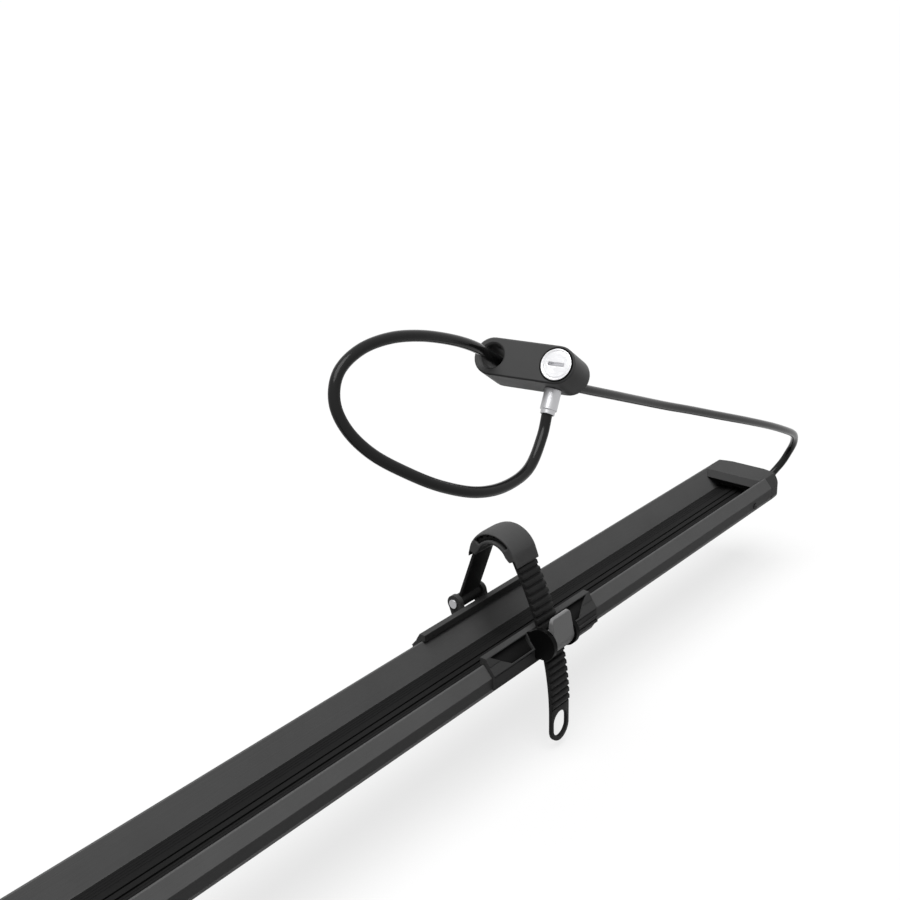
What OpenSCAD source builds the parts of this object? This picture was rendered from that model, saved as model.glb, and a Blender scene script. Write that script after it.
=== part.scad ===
// Roof mounted bike carrier: wheel tray with a fork head at the front, two roof bar clamps,
// a sliding wheel strap and a locking cable at the rear end.
// Origin: middle of the front bar pad's underside. +X runs rearward along the tray, +Z is up.

/* [Tray] */
// Length of the tray extrusion
tray_len = 1382; // [1360:1:1384]
// Distance of the tray's front end ahead of the front bar
tray_front = 70; // [70:1:90]
// Half width between the top edges of the rails
rail_half = 25.5; // [24:0.5:28]
// Half width over the outer sides
tray_half = 31.5; // [30:0.5:34]
// Half width of the lower edges of the sides
lower_half = 28.5; // [27:0.5:30]
// Height of the sides
side_h = 20; // [19:0.5:24]
// Drop of the outer chamfer below the top edge
chamfer_h = 7.2; // [6:0.2:9]
// Height of the bevel along the lower edge
bevel_h = 5; // [3:0.5:7]
// Depth of the wheel channel below the top edge
floor_depth = 15; // [14:0.5:16]
// Half width of the wheel channel's floor
floor_half = 15; // [14:0.5:17]
// Wall of the extrusion
wall = 1.8; // [1.4:0.1:2.2]
// Half width of the clamp channel under the floor
channel_half = 14; // [13:0.5:16]
// Depth of the clamp channel below the sides
channel_drop = 3; // [2.5:0.5:4]
// Half width of the slot in the clamp channel
slot_half = 4.25; // [4:0.25:5]
// Height of the rib along the floor
rib_h = 1.2; // [0.8:0.2:2]

/* [End caps] */
// Length of the closing plate that reaches into the wheel channel
tongue_len = 12; // [8:1:20]
// Thickness of the closing plate
tongue_t = 5; // [4:0.5:7]
// Length of the rear cap behind the tray, without its bowed end
cap_len = 14; // [12:1:16]
// Radius of a cap screw's shank
cap_screw_r = 1.5; // [1.25:0.25:2.5]

/* [Cable lock] */
// Radius of the lock cable
cable_r = 3; // [2.5:0.25:3.25]
// Height of the lock housing
lock_h = 21; // [20:0.5:26]
// Thickness of the lock housing
lock_t = 24; // [22:1:28]
// Distance from the lock barrel to the cable hole
lock_reach = 38; // [34:1:44]
// Radius of the lock barrel
barrel_r = 8.6; // [6.5:0.1:9]
// Radius of the hole that the cable runs through
cable_hole_r = 6.6; // [5.6:0.2:7]
// Radius of the plug's ferrule
plug_r = 4.6; // [4.4:0.2:5.4]
// Length of the ferrule below the housing
plug_len = 11.5; // [10:0.5:16]

/* [Wheel strap] */
// Distance from the front bar to the middle of the strap
strap_x = 995; // [940:1:1040]
// Width of the strap
strap_w = 20; // [18:0.5:24]
// Thickness of the strap without its teeth
strap_t = 2.4; // [2:0.2:3]
// Height of a tooth
tooth_h = 0.9; // [0.6:0.1:1.2]
// Pitch of the teeth
tooth_pitch = 5; // [4:0.5:7]
// Radius of the arch at the middle of the strap
arch_r = 15.6; // [15:0.2:18]
// Height of the arch's centre above the tray
arch_up = 46; // [45:1:54]
// Lean of the strap's sides
strap_lean = 27; // [26:1:29]
// Length of the free tail below the tray's top
tail_len = 76; // [70:1:100]
// Thickness of the rim pad over the strap
pad_over = 2.3; // [1.9:0.2:3.5]
// Thickness of the rim pad under the strap
pad_under = 2.8; // [1.6:0.2:3]
// Width of the rim pad
pad_w = 24; // [23:0.5:28]
// Half length of the strap cradle
cradle_half = 57; // [52:1:64]
// Wall of the strap cradle
cradle_t = 1.6; // [1.4:0.1:1.8]
// Height of the cradle's lips above the rails
lip_h = 5; // [4:0.5:7]

/* [Fork head] */
// Width over the faces that the fork ends clamp on
fork_w = 100; // [90:1:110]
// Height of the fork axle above the tray
axle_up = 80; // [72:1:95]
// Position of the fork axle behind the front bar
axle_x = -8; // [-8:1:2]
// Radius of the axle stubs
stub_r = 4.5; // [4:0.25:5]
// Radius of the skewer
skewer_r = 2.5; // [2:0.25:3]
// Radius of the axle boss
boss_r = 15; // [13:0.5:18]
// Room for a fork end
fork_end_t = 7; // [6:0.5:9]
// Length of the clamping lever
lever_len = 78; // [65:1:95]

/* [Bar clamps] */
// Distance between the two clamps
clamp_gap = 590; // [500:1:700]
// Width of the widest roof bar
bar_w = 80; // [70:1:90]
// Height of the highest roof bar
bar_h = 28; // [24:1:34]
// Width of a clamp across the tray
clamp_w = 44; // [40:1:50]
// Height of a clamp's base
base_h = 21; // [20:0.5:26]
// Thickness of the bar pad
pad_t = 4; // [3:0.5:6]
// Thickness of the hooks
hook_t = 8; // [6:0.5:10]
// Radius of the clamp stud
stud_r = 4; // [3:0.25:4.5]
// Radius of the knob
knob_r = 13; // [11:0.5:13]
// Number of lobes on the knob
knob_lobes = 5; // [3:1:7]

/* [Hidden] */
$fn = 64;

// Clearances
slide_gap = 0.3;
run_gap = 0.06;
seat_gap = 0.1;
skirt_gap = 0.4;
pin_gap = 0.03;

// Heights of the tray, worked out from the clamp below it
channel_z = pad_t + base_h;
side_z = channel_z + channel_drop;
top_z = side_z + side_h;
floor_z = top_z - floor_depth;
chamfer_z = top_z - chamfer_h;
knee_z = side_z + bevel_h;
lip_t = 2;
rail_edge = 1.2;
tray_x0 = -tray_front;
tray_x1 = tray_x0 + tray_len;
roof_z = floor_z - wall;

// Outline helpers
function unit(v) = v / norm(v);
function turn_left(v) = [-v[1], v[0]];
// Moves every edge of a counter-clockwise outline inward by d
function inset(p, d) = [for (i = [0 : len(p) - 1])
    let (n = len(p), b = p[i], u = turn_left(unit(b - p[(i + n - 1) % n])),
        v = turn_left(unit(p[(i + 1) % n] - b)))
    b + d * (u + v) / (1 + u * v)];
function flip(p) = [for (i = [len(p) - 1 : -1 : 0]) [-p[i][0], p[i][1]]];

// Extrudes an outline drawn across the tray along X
module along(x0, x1) {
    translate([x0, 0, 0]) rotate([90, 0, 90]) linear_extrude(x1 - x0) children();
}
// Extrudes a side view outline across the tray, from y0 to y1
module across(y0, y1) {
    translate([0, y1, 0]) rotate([90, 0, 0]) linear_extrude(y1 - y0) children();
}
module rod_x(x0, x1, r) {
    translate([x0, 0, 0]) rotate([0, 90, 0]) cylinder(r = r, h = x1 - x0);
}
module rod_y(y0, y1, r) {
    translate([0, y0, 0]) rotate([-90, 0, 0]) cylinder(r = r, h = y1 - y0);
}
module rounded(w, h, r) {
    union() {
        square([w, h - 2 * r], center = true);
        square([w - 2 * r, h], center = true);
        for (sx = [-1, 1], sy = [-1, 1])
            translate([sx * (w / 2 - r), sy * (h / 2 - r)]) circle(r);
    }
}

// Tray profile
side_edge = [[channel_half, channel_z], [channel_half, side_z], [lower_half, side_z],
    [tray_half, knee_z], [tray_half, chamfer_z], [rail_half, top_z]];
tray_outline = concat(side_edge, flip(side_edge));
// Half width of the wheel channel at height z
function v_half(z) = floor_half + (z - floor_z) * (rail_half - rail_edge - floor_half) / floor_depth;
// Outline between two heights in the wheel channel, clear of its sides by g
function v_outline(z0, z1, g) = let (a = v_half(z0) - g, b = v_half(z1) - g) [[a, z0], [b, z1], [-b, z1],
    [-a, z0]];
chamber = inset([[floor_half, side_z], [lower_half, side_z], [tray_half, knee_z], [tray_half, chamfer_z],
    [rail_half - rail_edge / 2, top_z], [floor_half, floor_z]], wall);
screw_in = 28;
screw_up = 2;
cap_screw_x = [tray_x1 - screw_in, tray_x0 + screw_in];
screw_z = knee_z + screw_up;
deck_front = 52;
deck_back = 64;
bolt_in = 10;
head_bolt_x = [axle_x - deck_front + bolt_in, axle_x + deck_back - bolt_in];
head_bolt_r = 3.9;

// Wheel channel with the two ribs that stand on its floor
rib_half = 4;
groove_half = 0.9;
rib_top = floor_z + rib_h;
rib_edge = [[groove_half, floor_z], [groove_half, rib_top], [rib_half, rib_top], [rib_half, floor_z]];
wheel_cut = concat(v_outline(floor_z, top_z + 1, 0), flip(rib_edge), rib_edge);

module tray_section() {
    difference() {
        polygon(tray_outline);
        polygon(wheel_cut);
        for (m = [0, 1]) mirror([m, 0]) polygon(chamber);
        translate([wall - channel_half, channel_z + lip_t])
            square([2 * (channel_half - wall), roof_z - channel_z - lip_t]);
        translate([-slot_half, channel_z - 1]) square([2 * slot_half, lip_t + 2]);
    }
}
module tray_rail() {
    color("#55565a") difference() {
        along(tray_x0, tray_x1) tray_section();
        for (x = head_bolt_x) translate([x, 0, roof_z - 1])
            cylinder(r = head_bolt_r + slide_gap, h = wall + rib_h + 2);
        for (x = cap_screw_x, s = [-1, 1])
            translate([x, s * tray_half, screw_z]) rod_y(-wall - 1, wall + 1, cap_screw_r + seat_gap);
    }
}

// End caps
cap_reach_x = cap_len + 6.5;
nose_low = cap_len - 6;
nose_h = 12;
nose_edge = 1.5;
cap_bow = 4.5 / pow(rail_half, 2);
corner_in = 4;
corner_y = tray_half - corner_in;
corner_a = atan(2 * cap_bow * corner_y);
corner_r = corner_in / (1 - sin(corner_a));
pry_w = 1.2;
pry_in = 2;
cap_edge = [for (p = side_edge) if (p[1] >= side_z) p];
cap_solid = concat(cap_edge, flip(cap_edge));
lug_len = screw_in + 6;
lug_bore = 8;
front_cap_len = 6;
front_tongue = 8;

// Half of the rear cap's outline from above: a bowed end with a round corner
cap_corner = [cap_reach_x - cap_bow * pow(corner_y, 2) - corner_r * cos(corner_a),
    corner_y - corner_r * sin(corner_a)];
cap_plan = concat([for (i = [0 : 6]) let (y = corner_y * i / 6) [cap_reach_x - cap_bow * y * y, y]],
    [for (i = [1 : 5]) let (a = corner_a + (90 - corner_a) * i / 5)
        cap_corner + corner_r * [cos(a), sin(a)]],
    [[0, tray_half], [0, 0]]);
// Side view of the rear cap, rounded below
cap_side = concat([[0, side_z]], [for (i = [0 : 8]) let (a = 90 * i / 8)
    [nose_low + (cap_reach_x - nose_low) * sin(a), side_z + nose_h * (1 - cos(a))]],
    [[cap_reach_x, top_z - nose_edge], [cap_reach_x - nose_edge, top_z], [0, top_z]]);

// Pieces of a cap that reach into the tray; the tray ends at x = 0 and lies on the -X side
module cap_reach(tongue, lip) {
    intersection() {
        along(-tongue, 1) polygon(v_outline(top_z - tongue_t, top_z, slide_gap));
        across(-tray_half, tray_half) polygon([[-tongue, top_z - tongue_t], [1, top_z - tongue_t],
            [1, top_z], [lip - tongue, top_z]]);
    }
    difference() {
        along(-lug_len, 1) for (m = [0, 1]) mirror([m, 0]) polygon(inset(chamber, slide_gap));
        for (s = [-1, 1]) translate([-screw_in, s * (tray_half - wall), screw_z])
            rod_y(-lug_bore, lug_bore, cap_screw_r + seat_gap);
    }
    along(0, lip_t) translate([-channel_half, channel_z]) square([2 * channel_half, channel_drop + 1]);
}
module rear_end_cap() {
    lip = 4.5;
    color("#47474a") difference() {
        translate([tray_x1, 0, 0]) union() {
            intersection() {
                along(0, cap_reach_x) polygon(cap_solid);
                across(-tray_half, tray_half) polygon(cap_side);
                translate([0, 0, side_z]) linear_extrude(side_h) for (m = [0, 1]) mirror([0, m])
                    polygon(cap_plan);
            }
            cap_reach(tongue_len, lip);
        }
        for (s = [-1, 1]) translate([tray_x1 - 1, s * tray_half - pry_in, side_z - 1])
            cube([pry_w + 1, 2 * pry_in, bevel_h + 2]);
        gland_frame() rod_x(-anchor_len - seat_gap, gland_len + 2, gland_r + seat_gap);
    }
}
module front_end_cap() {
    color("#47474a") translate([tray_x0, 0, 0]) mirror([1, 0, 0]) union() {
        along(0, front_cap_len) polygon(cap_solid);
        cap_reach(front_tongue, 2);
    }
}
module end_cap_screws() {
    head_r = cap_screw_r + 1;
    head_t = 0.8;
    shank = 7;
    drive_r = 0.8;
    color("#2b2b2d") for (x = cap_screw_x, s = [0, 1]) mirror([0, s, 0])
        translate([x, tray_half, screw_z]) difference() {
            union() {
                rod_y(-shank, 0, cap_screw_r);
                rod_y(0, head_t, head_r);
            }
            rod_y(head_t / 2, head_t + 1, drive_r);
        }
}

// Cable lock. Its way starts at the anchor in the rear cap and ends in the plug, measured along X from
// the tray's rear end.
cable_way = [
    [14, -16, 36], [26, -19, 43], [33, -23.5, 51.5], [35.5, -27.5, 60.5], [33.5, -32, 69.5],
    [26.5, -36, 78.5], [14.5, -39.5, 86.5], [-7, -42.5, 96.5], [-37, -44.5, 109.5], [-78, -45.5, 126],
    [-123, -45.5, 143.5], [-164, -45.5, 159.5], [-198, -46, 172.5], [-232, -48, 186],
    [-272, -51.5, 202], [-312, -54, 218], [-347, -54, 233], [-381, -54, 249],
    [-403, -57, 262], [-420, -60, 272], [-440, -61, 281], [-464, -61, 289], [-486, -60, 293],
    [-506, -59, 292], [-521, -59, 285], [-528, -62, 273], [-527, -68, 260], [-519, -76, 247],
    [-505, -85, 235], [-488, -92, 224], [-467, -97, 215], [-444, -98, 211], [-422, -96, 213],
    [-405, -92, 224], [-397, -90, 236]];
route = [for (p = cable_way) p + [tray_x1, 0, 0]];
cable_sides = 10;
ring_step = 14;
gland_len = 8.6;
gland_r = 4.5;
gland_taper = 2.6;
gland_lean = 30;
gland_yaw = -14;
anchor_len = 6;
lock_at = [tray_x1 - 395, -94, 262];
lock_turn = [0, 33, 10];
bezel_t = 0.8;
bezel_len = 3;
barrel_len = 5.8;
socket_r = plug_r - 1;
socket_deep = 9;
plug_x = 13;
plug_y = 4;
collar_len = 2.4;

// Point at u between p[1] and p[2] on the smooth curve through the points p
function blend(p, u) = 0.5 * (2 * p[1] + (p[2] - p[0]) * u
    + (2 * p[0] - 5 * p[1] + 4 * p[2] - p[3]) * u * u
    + (3 * p[1] - p[0] - 3 * p[2] + p[3]) * u * u * u);
// Smooth path through the points, with a sample about every step
function smooth(p, step) = let (e = concat([2 * p[0] - p[1]], p, [2 * p[len(p) - 1] - p[len(p) - 2]]))
    concat([for (i = [1 : len(p) - 1]) let (n = max(1, round(norm(e[i + 1] - e[i]) / step)))
        for (k = [0 : n - 1]) blend([e[i - 1], e[i], e[i + 1], e[i + 2]], k / n)], [p[len(p) - 1]]);
// Direction of travel at each point of a path
function headings(p) = [for (i = [0 : len(p) - 1])
    unit(p[min(i + 1, len(p) - 1)] - p[max(i - 1, 0)])];
// Sideways direction at each point, carried along without twist
function sideways(h, first) = [for (i = 0, s = unit(first - (first * h[0]) * h[0]); i < len(h);
    i = i + 1, s = i < len(h) ? unit(s - (s * h[i]) * h[i]) : s) s];
// Closed tube of radius r along a path
module tube(path, r, sides, first = [0, 1, 0]) {
    h = headings(path);
    w = sideways(h, first);
    n = len(path);
    ring = [for (i = [0 : n - 1], k = [0 : sides - 1]) let (a = 360 * k / sides)
        path[i] + r * (cos(a) * w[i] + sin(a) * cross(h[i], w[i]))];
    skin = [for (i = [0 : n - 2], k = [0 : sides - 1])
        let (a = i * sides + k, b = i * sides + (k + 1) % sides) each [[a, b, b + sides], [a, b + sides,
            a + sides]]];
    ends = [for (k = [1 : sides - 2]) each [[0, k + 1, k],
        [(n - 1) * sides, (n - 1) * sides + k, (n - 1) * sides + k + 1]]];
    polyhedron(ring, [for (f = concat(skin, ends)) [f[0], f[2], f[1]]]);
}
module gland_frame() {
    translate(route[0]) rotate([0, -gland_lean, gland_yaw]) children();
}
module lock_frame() {
    translate(lock_at) rotate(lock_turn) children();
}
module cable_gland() {
    color("#202022") gland_frame() difference() {
        union() {
            rod_x(0, gland_len - gland_taper, gland_r);
            translate([gland_len - gland_taper, 0, 0]) rotate([0, 90, 0])
                cylinder(r1 = gland_r, r2 = cable_r + 0.9, h = gland_taper);
        }
        rod_x(-1, gland_len + 1, cable_r + skirt_gap);
    }
}
module cable_anchor() {
    color("#9a9a9c") gland_frame() rod_x(-anchor_len, -seat_gap, gland_r - 0.5);
}
module lock_cable() {
    color("#1d1d1f") tube(smooth(route, ring_step), cable_r, cable_sides);
}
module lock_profile(r) {
    translate([0, -r]) square([lock_reach, 2 * r]);
    circle(r);
    translate([lock_reach, 0]) circle(r);
}
module lock_housing() {
    edge = 0.8;
    r = lock_h / 2;
    mouth = 1.2;
    color("#333335") lock_frame() difference() {
        hull() {
            along(0, lock_t) lock_profile(r - edge, $fn = 32);
            along(edge, lock_t - edge) lock_profile(r, $fn = 32);
        }
        rod_x(-1, barrel_len + seat_gap, barrel_r + run_gap);
        rod_x(-1, bezel_len, barrel_r + bezel_t + seat_gap);
        translate([0, lock_reach, 0]) {
            rod_x(-1, lock_t + 1, cable_hole_r);
            for (m = [0, 1]) translate([m * lock_t, 0, 0]) mirror([m, 0, 0]) translate([-0.01, 0, 0])
                rotate([0, 90, 0]) cylinder(r1 = cable_hole_r + mouth, r2 = cable_hole_r, h = mouth);
        }
        translate([plug_x, plug_y, -r - 1]) cylinder(r = socket_r + seat_gap, h = socket_deep + 1.2);
    }
}
module lock_bezel() {
    color("#17171a") lock_frame() difference() {
        rod_x(-0.3, bezel_len - seat_gap, barrel_r + bezel_t);
        rod_x(-1, bezel_len + 1, barrel_r + run_gap);
    }
}
module lock_barrel() {
    slot_w = 2;
    slot_len = 9;
    slot_deep = 4;
    color("#d8d8da") lock_frame() difference() {
        rod_x(-0.5, barrel_len, barrel_r);
        translate([-1, -slot_len / 2, -slot_w / 2]) cube([slot_deep + 1, slot_len, slot_w]);
        difference() {
            rod_x(-1, -0.2, barrel_r - 0.9);
            rod_x(-2, 0, barrel_r - 1.5);
        }
    }
}
module cable_plug() {
    top = -lock_h / 2 - seat_gap;
    groove = 1;
    color("#c9c9cb") lock_frame() translate([plug_x, plug_y, 0]) difference() {
        union() {
            translate([0, 0, top - plug_len]) cylinder(r = plug_r, h = plug_len);
            translate([0, 0, top - plug_len - collar_len]) cylinder(r = cable_r + 0.9, h = collar_len + 1);
            translate([0, 0, top - 1]) cylinder(r = socket_r, h = socket_deep);
        }
        translate([0, 0, top - plug_len - collar_len - 1]) cylinder(r = cable_r + slide_gap,
            h = collar_len + 1);
        translate([0, 0, top + socket_deep / 2]) rotate_extrude() translate([socket_r - groove, 0])
            square([groove + 1, 2]);
    }
}

// Wheel strap: centre line over the rim, drawn across the tray at strap_x
arch_at = [2.2, top_z + arch_up];
far_lean = 20;
side_dir = [-sin(strap_lean), -cos(strap_lean)];
side_out = [-cos(strap_lean), sin(strap_lean)];
side_start = arch_at + arch_r * side_out;
far_dir = [sin(far_lean), -cos(far_lean)];
far_out = [cos(far_lean), sin(far_lean)];
far_start = arch_at + arch_r * far_out;
tail_y = -tray_half - 11;
tail_z = top_z - tail_len;
bend_r = 200;
bend_cut = bend_r * tan(strap_lean / 2);
side_len = (tail_y - side_start[0]) / side_dir[0] - bend_cut;
bend_end = side_start[1] + (side_len + bend_cut) * side_dir[1] - bend_cut;
arch_near = arch_r * (90 - strap_lean) * PI / 180;
arch_far = arch_r * (90 - far_lean) * PI / 180;
bend_len = bend_r * strap_lean * PI / 180;
strap_end = arch_near + side_len + bend_len + bend_end - tail_z;
eye_z = top_z + lip_h + 2;
eye_len = (far_start[1] - eye_z) / cos(far_lean);
eye = far_start + eye_len * far_dir;
eye_r = 4.6;
anchor_pin_r = 2;
finger_r = 6.8;
finger_len = 18;
finger_up = 12.5;
cheek_t = 3.6;
cheek_gap = 0.7;

// Place and outward direction on the strap at distance s from the top, positive on the buckle side
function strap_at(s) = s < -arch_far ? [far_start + (-s - arch_far) * far_dir, far_out]
    : s <= arch_near ? let (a = 90 + s / arch_r * 180 / PI) [arch_at + arch_r * [cos(a), sin(a)],
        [cos(a), sin(a)]]
    : s <= arch_near + side_len ? [side_start + (s - arch_near) * side_dir, side_out]
    : s <= arch_near + side_len + bend_len
    ? let (a = strap_lean - (s - arch_near - side_len) / bend_r * 180 / PI)
        [[tail_y + bend_r, bend_end] + bend_r * [-cos(a), sin(a)], [-cos(a), sin(a)]]
    : [[tail_y, bend_end - (s - arch_near - side_len - bend_len)], [-1, 0]];
function strap_point(s, off) = let (q = strap_at(s)) q[0] + off * q[1];
// Outline of a band between two offsets from the strap's centre line
function band(s0, s1, in, out, n) = concat([for (i = [0 : n]) strap_point(s0 + (s1 - s0) * i / n, out)],
    [for (i = [n : -1 : 0]) strap_point(s0 + (s1 - s0) * i / n, in)]);
// Row of n teeth that starts at distance s0
function tooth_row(s0, n) = [for (i = [0 : n - 1], q = [[0, 0], [0.22, 1], [0.68, 1], [0.8, 0]])
    strap_point(s0 + (i + q[0]) * tooth_pitch, strap_t / 2 + q[1] * tooth_h)];
teeth_start = -arch_far;
teeth_count = floor((strap_end - finger_up - finger_len / 2 - 2 - teeth_start) / tooth_pitch);

module strap_outline() {
    polygon(concat([strap_point(-arch_far - eye_len, strap_t / 2)], tooth_row(teeth_start, teeth_count),
        [strap_point(strap_end, strap_t / 2), strap_point(strap_end, -strap_t / 2)],
        [for (s = [strap_end - 10 : -3 : -arch_far - 3]) strap_point(s, -strap_t / 2)],
        [strap_point(-arch_far - eye_len, -strap_t / 2)]));
}
module wheel_strap() {
    z1 = arch_at[1] + 2 * arch_r;
    half = strap_w / 2;
    color("#2a2a2c") difference() {
        intersection() {
            union() {
                along(strap_x - half, strap_x + half) strap_outline();
                translate([0, eye[0], eye[1]]) rod_x(strap_x - half, strap_x + half, eye_r);
            }
            across(2 * tail_y, -2 * tail_y) union() {
                translate([strap_x - half, tail_z + half]) square([strap_w, z1 - tail_z]);
                translate([strap_x, tail_z + half]) circle(half);
            }
        }
        translate([0, eye[0], eye[1]]) rod_x(strap_x - strap_w, strap_x + strap_w, anchor_pin_r + run_gap);
        across(2 * tail_y, tail_y / 2) translate([strap_x, tail_z + finger_up])
            rounded(2 * finger_r, finger_len, finger_r - 0.01);
    }
}
module rim_pad() {
    reach = 9;
    s0 = -arch_far - reach;
    s1 = arch_near + reach;
    n = 24;
    hem = 14;
    out0 = strap_t / 2 + tooth_h + slide_gap;
    in0 = -strap_t / 2 - slide_gap;
    side = (pad_w - strap_w) / 2 - slide_gap;
    thin = 0.5;
    far_thick = pad_over - thin;
    inner_cut = 5;
    i0 = s0 + inner_cut;
    i1 = s1 - inner_cut;
    end_half = strap_w / 2 + slide_gap;
    low = min(strap_point(s0, 0)[1], strap_point(s1, 0)[1]) - pad_under;
    high = arch_at[1] + arch_r + out0 + pad_over + 1;
    color("#5d5d60") intersection() {
        union() {
            along(strap_x - pad_w / 2, strap_x + pad_w / 2) {
                polygon(concat([for (i = [0 : n]) let (s = s0 + (s1 - s0) * i / n,
                    past = max(0, -arch_far - s, s - arch_near) / reach)
                    strap_point(s, out0 + pad_over - far_thick * past)],
                    [for (i = [n : -1 : 0]) strap_point(s0 + (s1 - s0) * i / n, out0)]));
                polygon(concat([for (i = [0 : n]) strap_point(i0 + (i1 - i0) * i / n, in0)],
                    [for (i = [n : -1 : 0]) let (s = i0 + (i1 - i0) * i / n,
                        past = max(0, -arch_far - s, s - arch_near) / (reach - inner_cut))
                        strap_point(s, in0 - pad_under + (pad_under - thin) * past)]));
            }
            for (x = [strap_x - pad_w / 2, strap_x + pad_w / 2 - side]) along(x, x + side) {
                polygon(band(i0, s0 + hem, in0 - thin, out0 + thin, 6));
                polygon(band(s1 - hem, i1, in0 - thin, out0 + thin, 6));
            }
        }
        across(-tray_half, tray_half) polygon([[strap_x - end_half, low], [strap_x + end_half, low],
            [strap_x + pad_w / 2, arch_at[1]], [strap_x + pad_w / 2, high], [strap_x - pad_w / 2, high],
            [strap_x - pad_w / 2, arch_at[1]]]);
    }
}

// Strap cradle round the tray
bridge_x = [strap_x + 16, strap_x + cradle_half];
skirt_in = inset(tray_outline, -skirt_gap);
skirt_out = inset(tray_outline, -skirt_gap - cradle_t);
lip_in = 3;
lip_edge = [rail_half + 1.5, top_z + lip_h];
plate_t = 1.2;
chamfer_up = unit([rail_half - tray_half, chamfer_h]);
chamfer_out = [chamfer_up[1], -chamfer_up[0]];
chamfer_len = norm([rail_half - tray_half, chamfer_h]);
chamfer_turn = atan2(chamfer_up[1], chamfer_up[0]);
cheek_x = strap_w / 2 + cheek_gap;
cheek_r = 10.6;
cheek_at = [tail_y + 4.3, top_z - 0.6];
lever_at = [tail_y + 0.5, top_z + 5];
lever_pin_r = 1.5;
pin_half = cheek_x + cheek_t - 1;

module cradle_outline() {
    base = [tray_half, chamfer_z] + chamfer_out * skirt_gap;
    polygon(skirt_out);
    for (m = [0, 1]) mirror([m, 0]) {
        polygon([[rail_half - lip_in, top_z], [lip_edge[0] + lip_in, top_z],
            lip_edge, [rail_half - lip_in, top_z + lip_h]]);
        polygon([base, base + chamfer_out * (cradle_t + plate_t),
            base + chamfer_out * (cradle_t + plate_t) + chamfer_up * chamfer_len,
                base + chamfer_up * chamfer_len]);
    }
}
module cradle_section(z_low) {
    difference() {
        cradle_outline();
        polygon(skirt_in);
        translate([lip_in - rail_half, top_z - 1]) square([2 * (rail_half - lip_in), 2 * lip_h]);
        translate([-tray_half * 2, z_low - top_z]) square([tray_half * 4, top_z]);
    }
}
// Recess in the sloping side, from the buckle to near the cradle's end and up to the lip's edge
module cradle_pocket() {
    deep = 2.1;
    over = 3;
    rim = 0.7;
    x0 = cheek_x + cheek_t + 1;
    top = (lip_edge - [tray_half, chamfer_z]) * chamfer_up - rim;
    translate([0, tray_half, chamfer_z]) rotate([chamfer_turn, 0, 0])
        translate([0, 0, -skirt_gap - cradle_t - plate_t - over]) linear_extrude(deep + over)
            polygon([[x0, 1], [cradle_half - 19, 1], [cradle_half - 4, top], [x0, top]]);
}
module cradle_ribs() {
    for (z = [knee_z - 0.6, knee_z + 2.8]) translate([tray_half + skirt_gap + cradle_t - 0.5, z])
        square([1.5, 1.8]);
}
module strap_cradle() {
    lug_r = 5.6;
    color("#3c3c3f") difference() {
        union() {
            along(strap_x - cradle_half, strap_x + cradle_half) cradle_section(knee_z);
            along(bridge_x[0], bridge_x[1]) {
                cradle_section(channel_z - 10);
                for (m = [0, 1]) mirror([m, 0]) cradle_ribs();
            }
            for (m = [0, 1]) translate([strap_x, 0, 0]) mirror([m, 0, 0]) along(cheek_x, cheek_x + cheek_t)
                difference() {
                    union() {
                        translate(eye) circle(lug_r);
                        polygon([eye + [-lug_r, 0], [rail_half, top_z + 1], [tray_half + 2, chamfer_z],
                            eye + [lug_r, 0]]);
                    }
                    polygon(skirt_in);
                }
        }
        translate([0, eye[0], eye[1]]) rod_x(strap_x - cradle_half, strap_x + cradle_half,
            anchor_pin_r + run_gap);
        for (mx = [0, 1], my = [0, 1]) translate([strap_x, 0, 0]) mirror([mx, 0, 0]) mirror([0, my, 0])
            cradle_pocket();
    }
}
module strap_anchor_pin() {
    half = cheek_x + cheek_t;
    head_t = 1.4;
    color("#9a9a9c") translate([strap_x, eye[0], eye[1]]) {
        rod_x(-half - head_t, half + head_t, anchor_pin_r);
        for (m = [0, 1]) mirror([m, 0, 0]) rod_x(half + seat_gap, half + head_t, anchor_pin_r + 1.2);
    }
}
module buckle_frame() {
    back = tail_y + 7.3;
    color("#161618") difference() {
        union() {
            for (m = [0, 1]) translate([strap_x, 0, 0]) mirror([m, 0, 0]) along(cheek_x, cheek_x + cheek_t)
                difference() {
                    union() {
                        translate(cheek_at) circle(cheek_r);
                        polygon([cheek_at + [0, cheek_r], cheek_at + [0, -cheek_r], [-lower_half,
                            chamfer_z - 4],
                            [-rail_half - 1, top_z + lip_h]]);
                    }
                    cradle_outline();
                }
            along(strap_x - cheek_x - 1, strap_x + cheek_x + 1) difference() {
                polygon([[back, chamfer_z - 4], [-lower_half, chamfer_z - 4], [-lower_half, chamfer_z + 3],
                    [back + 1.4, chamfer_z + 3]]);
                cradle_outline();
            }
        }
        translate([0, lever_at[0], lever_at[1]])
            rod_x(strap_x - pin_half - seat_gap, strap_x + pin_half + seat_gap, lever_pin_r + run_gap);
    }
}
module lever_pin() {
    color("#9a9a9c") translate([0, lever_at[0], lever_at[1]]) rod_x(strap_x - pin_half, strap_x + pin_half,
        lever_pin_r);
}
spring_half = 3.4;
spring_wire = 0.45;
spring_turns = 5;
module lever_spring() {
    coil_r = lever_pin_r + run_gap + spring_wire + 0.25;
    rings = 8 * spring_turns;
    run = spring_half - 0.8;
    color("#b0b0b2") tube([for (i = [0 : rings]) let (a = 360 * spring_turns * i / rings)
        [strap_x - run + 2 * run * i / rings, lever_at[0] + coil_r * cos(a),
            lever_at[1] + coil_r * sin(a)]],
        spring_wire, 6, [1, 0, 0]);
}
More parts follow.
